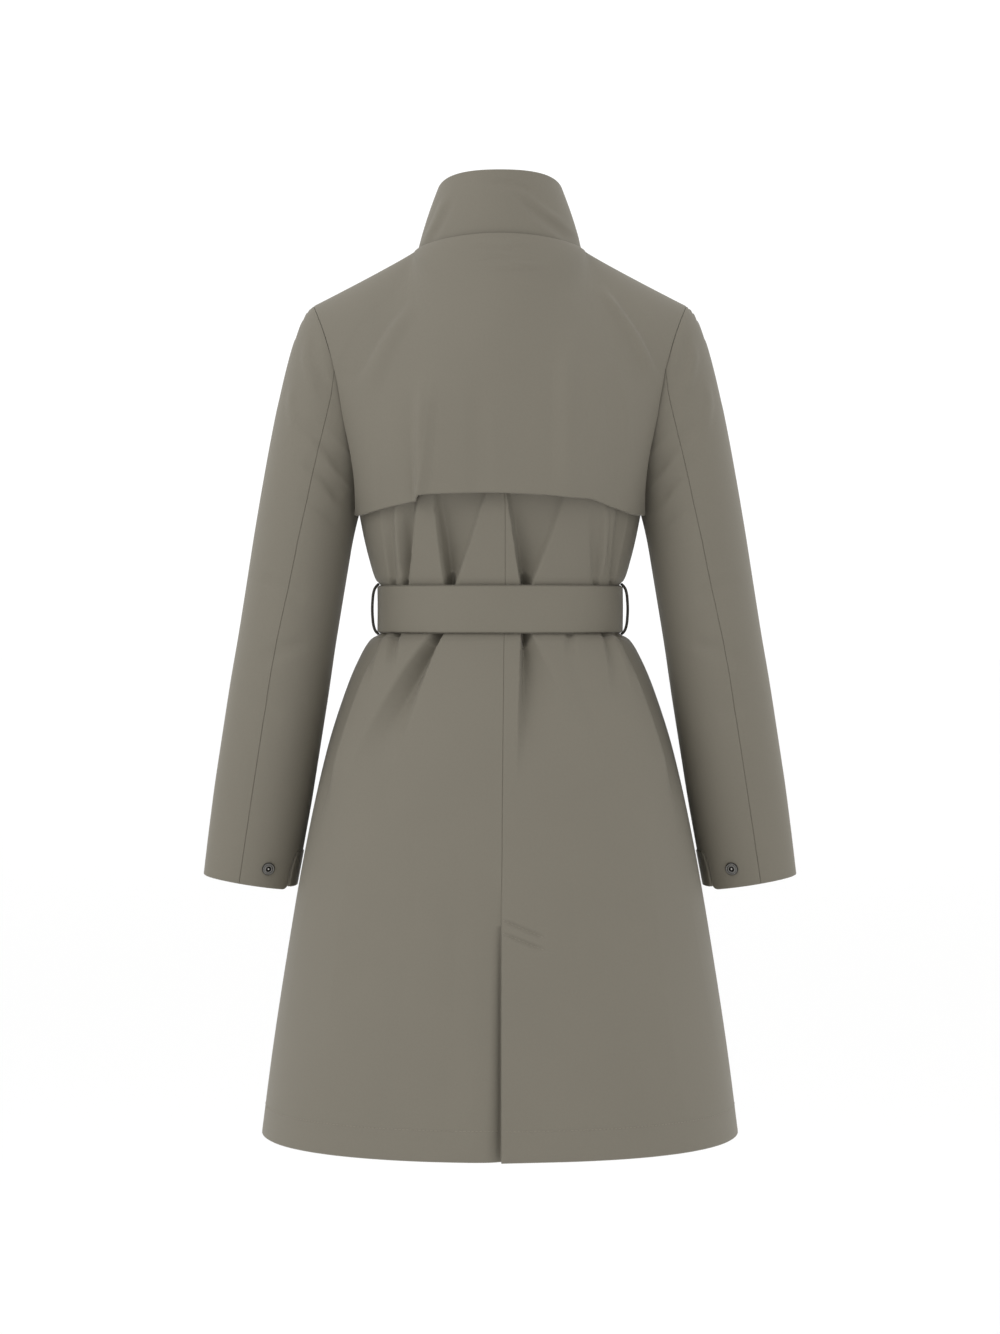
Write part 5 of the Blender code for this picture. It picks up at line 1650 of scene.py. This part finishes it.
class COAT_OT_belt_tie(Operator):
    """Build the belt's knot and its two hanging ends"""

    bl_idname = "coat.belt_tie"
    bl_label = "Belt tie"

    def execute(self, context):
        columns = KNOT_COLUMNS
        rows = KNOT_ROWS
        share = np.linspace(-0.5, 0.5, rows)[:, None]
        turn = np.linspace(0.0, 2.0 * np.pi, columns, endpoint=False)[None, :]
        half = smooth_column(KNOT_SECTIONS, 1, share)
        depth = smooth_column(KNOT_SECTIONS, 2, share)
        across = np.sign(np.cos(turn)) * np.abs(np.cos(turn)) ** KNOT_CORNER
        out = np.sign(np.sin(turn)) * np.abs(np.sin(turn)) ** KNOT_CORNER
        wrap = np.sin(share * KNOT_WRAP_UP + across * KNOT_WRAP_ACROSS)
        slant = (across - KNOT_FOLD_ACROSS - share) / KNOT_FOLD_WIDTH
        pinch = 1.0 - KNOT_GROOVE * soft_v(wrap / KNOT_GROOVE_WIDTH, TIE_SOFTNESS)
        pinch = pinch - KNOT_FOLD * soft_v(slant, TIE_SOFTNESS)
        face = belt_form(np.array((2.0,)), np.array((BELT_CLEAR + BELT_WALL + SEAM_GAP,)))[0][0, 1]
        deepest = KNOT_SECTIONS[:, 2].max()
        x = half * across * pinch + KNOT_LEAN * KNOT_HEIGHT * share
        y = face - deepest + depth * out * np.where(out < 0, pinch, 1.0)
        points = stack(x, y, BELT_MIDDLE + KNOT_HEIGHT * share).reshape(-1, 3)
        round_knot = np.tile(turn[0] * KNOT_WEAVE_RADIUS, rows)
        places = np.stack((round_knot, np.repeat(share[:, 0] * KNOT_HEIGHT, columns)), axis=1)
        mesh = make_mesh("belt_knot_cloth", points, tube_faces(0, columns, rows), places)
        knot = add_object("belt_knot_cloth", mesh, material_of("belt_twill"))
        finish_piece(knot, "belt_knot")
        top = BELT_MIDDLE - KNOT_HEIGHT / 2.0 - SEAM_GAP
        for word, start, lean, stand in TAILS:
            along = edge_run(0.0, TAIL_LENGTH, TAIL_ROWS, TAIL_LENGTH)[:, None]
            wide = edge_run(-1.0, 1.0, TAIL_COLUMNS, BELT_WIDTH)[None, :]
            spread = TAIL_KNOT_HALF + (TAIL_HALF - TAIL_KNOT_HALF) * smooth_step(along / TAIL_SPREAD)
            level = top - along * TAIL_FALL + 0.0 * wide
            x = start + lean * along + spread * wide
            points = ring_form(FRONT, share_at(body_sizes(level)[0], x), level)
            normals = unit(stack(points[..., 0] * TAIL_FLATNESS, points[..., 1], 0.0))
            gather = TAIL_GATHER * soft_v((wide - TAIL_GATHER_ACROSS) / TAIL_GATHER_WIDTH, TIE_SOFTNESS)
            gather = gather * (1.0 - smooth_step(along / TAIL_GATHER_REACH))
            wave = TAIL_WAVE * np.sin(along * TAIL_WAVE_DOWN + start * TAIL_WAVE_SHIFT)
            wave = wave * smooth_step(along / TAIL_WAVE_EASE)
            edge = np.minimum((1.0 - np.abs(wide)) * TAIL_HALF, TAIL_LENGTH - along)
            height = stand + BELT_WALL + TAIL_CLEAR + wave - gather - roll_in(edge)
            points = points + normals * height[..., None]
            name = "belt_tail_" + word
            piece = cloth_piece(name, points, normals, BELT_WALL, finish="belt_twill", slot="belt_cloth")
        return {"FINISHED"}


def stitch_row(points, normals):
    """Vertices and faces of one row of stitches along a line of surface points."""
    trim = bpy.context.scene.coat_trim_settings
    steps = np.linalg.norm(np.diff(points, axis=0), axis=1)
    run = np.concatenate(((0.0,), np.cumsum(steps)))
    pitch = trim.stitch_length + trim.stitch_gap
    count = int(run[-1] / pitch)
    starts = np.arange(count) * pitch + trim.stitch_gap / 2.0
    turn = np.linspace(0.0, 2.0 * np.pi, STITCH_SIDES, endpoint=False)
    places = starts[:, None] + STITCH_SHARES[None, :] * trim.stitch_length
    middle = np.stack([np.interp(places, run, points[:, k]) for k in range(3)], axis=2)
    up = unit(np.stack([np.interp(places, run, normals[:, k]) for k in range(3)], axis=2))
    ahead = unit(middle[:, -1] - middle[:, 0])[:, None, :]
    aside = unit(np.cross(ahead, up))
    radius = trim.thread / 2.0
    middle = middle + up * (radius * (STITCH_SWELL - STITCH_SINK))[None, :, None]
    wide = np.cos(turn)[None, None, :, None] * aside[:, :, None, :] * STITCH_WIDEN
    tall = np.sin(turn)[None, None, :, None] * up[:, :, None, :]
    verts = middle[:, :, None, :] + (wide + tall) * (radius * STITCH_SWELL)[None, :, None, None]
    rings = STITCH_SHARES.size
    faces = []
    for k in range(count):
        faces += tube_faces(k * rings * STITCH_SIDES, STITCH_SIDES, rings)
    return verts.reshape(-1, 3), faces


class COAT_OT_stitches(Operator):
    """Sew the hem, the vent's bars and the front's closing with joined stitches"""

    bl_idname = "coat.stitches"
    bl_label = "Stitches"

    def execute(self, context):
        lines = {name: [] for name in HEM_STITCH_STARTS}
        hem = HEM_STITCH_LEVEL - CHEST_LEVEL
        for word, side in SIDES:
            for name, surface, count in (
                ("back_" + word, back_cloth, BACK_HEM_PLACES),
                ("front_" + word, front_cloth, FRONT_HEM_PLACES),
            ):
                shares = np.linspace(HEM_STITCH_STARTS[name], HEM_STITCH_END, count)
                lines[name].append(surface(side, side * shares, np.full(count, hem)))
        for x0, z0, x1, z1 in VENT_STITCHES:
            x = np.linspace(x0, x1, VENT_STITCH_PLACES)
            rise = np.linspace(z0, z1, VENT_STITCH_PLACES) - CHEST_LEVEL
            half = body_sizes(rise + CHEST_LEVEL)[0]
            lines["back_right"].append(back_cloth(RIGHT, share_at(half, x), rise))
        rise = np.linspace(HEM_LEVEL + FRONT_STITCH_FOOT - CHEST_LEVEL, 0.0, FRONT_LOW_PLACES)
        share = share_at(body_sizes(CHEST_LEVEL + rise)[0], FRONT_STITCH_ACROSS)
        upper = np.linspace(*FRONT_STITCH_RISE, FRONT_HIGH_PLACES)
        share = np.concatenate((share, np.full(FRONT_HIGH_PLACES, share[-1])))
        lines["front_right"].append(front_cloth(RIGHT, RIGHT * share, np.concatenate((rise, upper))))
        for name, rows in lines.items():
            verts = []
            faces = []
            first = 0
            for points, normals in rows:
                some, loops = stitch_row(points, normals)
                verts.append(some)
                faces += [[first + v for v in loop] for loop in loops]
                first += len(some)
            mesh = make_mesh(name + "_stitches", np.concatenate(verts), faces)
            piece = add_object(name + "_stitches", mesh, material_of("sewing_thread"))
            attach(piece, "root")
        return {"FINISHED"}


def floor_finish():
    """Pale floor that passes into the surround's tone with distance, so that the horizon stays soft."""
    settings = bpy.context.scene.coat_stage_settings
    base = {"Roughness": FLOOR_ROUGHNESS, "Specular IOR Level": FLOOR_SPECULAR}
    material, tree, shader = new_finish("pale_floor", base)
    place = node(tree, "ShaderNodeTexCoord", (-1300, 0), {})["Object"]
    flat = {0: place, 1: (1.0, 1.0, 0.0)}
    level = node(tree, "ShaderNodeVectorMath", (-1100, 0), flat, operation="MULTIPLY")["Vector"]
    way = node(tree, "ShaderNodeVectorMath", (-900, 150), {0: level}, operation="NORMALIZE")["Vector"]
    axes = node(tree, "ShaderNodeSeparateXYZ", (-700, 150), {"Vector": way})
    near_tone = settings.sky_near * FLOOR_MATCH
    far = ranged(tree, (-500, 150), axes["Y"], settings.sky_far * FLOOR_MATCH, near_tone, from_low=-1.0)
    reach = node(tree, "ShaderNodeVectorMath", (-900, -150), {0: level}, operation="LENGTH")["Value"]
    ends = (0.0, 1.0, FLOOR_FADE_START, FLOOR_FADE_END)
    fade = ranged(tree, (-700, -150), reach, *ends, interpolation_type="SMOOTHSTEP")
    change = maths(tree, (-300, 150), "SUBTRACT", far, 1.0)
    tone = maths(tree, (-300, -50), "MULTIPLY_ADD", change, fade, 1.0)
    feed(tree, shader["Base Color"], scaled(tree, (-150, 0), settings.floor_colour, tone))
    return material


def white_surround():
    """White light from all round: strongest beyond the coat, weaker at its back, stronger to the top."""
    settings = bpy.context.scene.coat_stage_settings
    world = bpy.data.worlds.new("white_surround")
    world.use_nodes = True
    tree = world.node_tree
    shine = tree.nodes["Background"].inputs
    shine["Color"].default_value = (1.0, 1.0, 1.0, 1.0)
    way = node(tree, "ShaderNodeTexCoord", (-700, 0), {})["Generated"]
    axes = node(tree, "ShaderNodeSeparateXYZ", (-500, 0), {"Vector": way})
    grade = ranged(tree, (-300, 0), axes["Y"], settings.sky_far, settings.sky_near, from_low=-1.0)
    rise = maths(tree, (-100, 0), "MULTIPLY_ADD", axes["Z"], settings.sky_rise, grade)
    feed(tree, shine["Strength"], rise)
    return world


def soft_light(name, place, target, size, power):
    data = bpy.data.lights.new(name, "AREA")
    data.shape = "RECTANGLE"
    data.size, data.size_y = size
    data.energy = power
    lamp = bpy.data.objects.new(name, data)
    lamp.location = place
    lamp.rotation_euler = (Vector(target) - Vector(place)).to_track_quat("-Z", "Y").to_euler()
    bpy.context.scene.collection.objects.link(lamp)


class COAT_OT_stage(Operator):
    """Set the pale floor, soft studio light and camera"""

    bl_idname = "coat.stage"
    bl_label = "Stage"

    def execute(self, context):
        settings = context.scene.coat_stage_settings
        reach = FLOOR_HALF
        points = np.array([(x, y, FLOOR_LEVEL) for y in (-reach, reach) for x in (-reach, reach)])
        faces = [[0, 1, 3, 2]]
        floor = add_object("pale_floor", make_mesh("pale_floor", points, faces), floor_finish())
        context.scene.world = white_surround()
        soft_light("key_light", *KEY_LIGHT, settings.key_power)
        soft_light("rim_light", *RIM_LIGHT, settings.rim_power)
        context.scene.view_settings.view_transform = "Standard"
        data = bpy.data.cameras.new("photo_camera")
        data.lens = CAMERA_LENS
        data.sensor_width = CAMERA_SENSOR
        data.shift_y = CAMERA_SHIFT
        camera = bpy.data.objects.new("photo_camera", data)
        camera.location = CAMERA_PLACE
        camera.rotation_euler = (math.pi / 2.0, 0.0, math.pi)
        context.scene.collection.objects.link(camera)
        context.scene.camera = camera
        return {"FINISHED"}


OPERATORS = (
    COAT_OT_backs,
    COAT_OT_fronts,
    COAT_OT_storm_flap,
    COAT_OT_collar,
    COAT_OT_sleeves,
    COAT_OT_cuff_tabs,
    COAT_OT_snaps,
    COAT_OT_belt,
    COAT_OT_belt_tie,
    COAT_OT_stitches,
    COAT_OT_stage,
)


class COAT_PT_panel(Panel):
    """Sizes, colours and pieces of the coat"""

    bl_idname = "COAT_PT_panel"
    bl_label = "Trench coat"
    bl_space_type = "VIEW_3D"
    bl_region_type = "UI"
    bl_category = "Coat"

    def draw(self, context):
        for group in ("coat_cloth_settings", "coat_trim_settings", "coat_stage_settings"):
            settings = getattr(context.scene, group)
            box = self.layout.box()
            for name in settings.bl_rna.properties.keys():
                if name not in ("rna_type", "name"):
                    box.prop(settings, name)
        for operator in OPERATORS:
            self.layout.operator(operator.bl_idname)


CLASSES = (CoatClothSettings, CoatTrimSettings, CoatStageSettings) + OPERATORS + (COAT_PT_panel,)


def register():
    for each in CLASSES:
        bpy.utils.register_class(each)
    bpy.types.Scene.coat_cloth_settings = PointerProperty(type=CoatClothSettings)
    bpy.types.Scene.coat_trim_settings = PointerProperty(type=CoatTrimSettings)
    bpy.types.Scene.coat_stage_settings = PointerProperty(type=CoatStageSettings)


def unregister():
    del bpy.types.Scene.coat_stage_settings
    del bpy.types.Scene.coat_trim_settings
    del bpy.types.Scene.coat_cloth_settings
    for each in reversed(CLASSES):
        bpy.utils.unregister_class(each)


def main():
    register()
    bpy.ops.coat.backs()
    bpy.ops.coat.fronts()
    bpy.ops.coat.storm_flap()
    bpy.ops.coat.collar()
    bpy.ops.coat.sleeves()
    bpy.ops.coat.cuff_tabs()
    bpy.ops.coat.snaps()
    bpy.ops.coat.belt()
    bpy.ops.coat.belt_tie()
    bpy.ops.coat.stitches()
    bpy.ops.coat.stage()


if __name__ == "__main__":
    main()
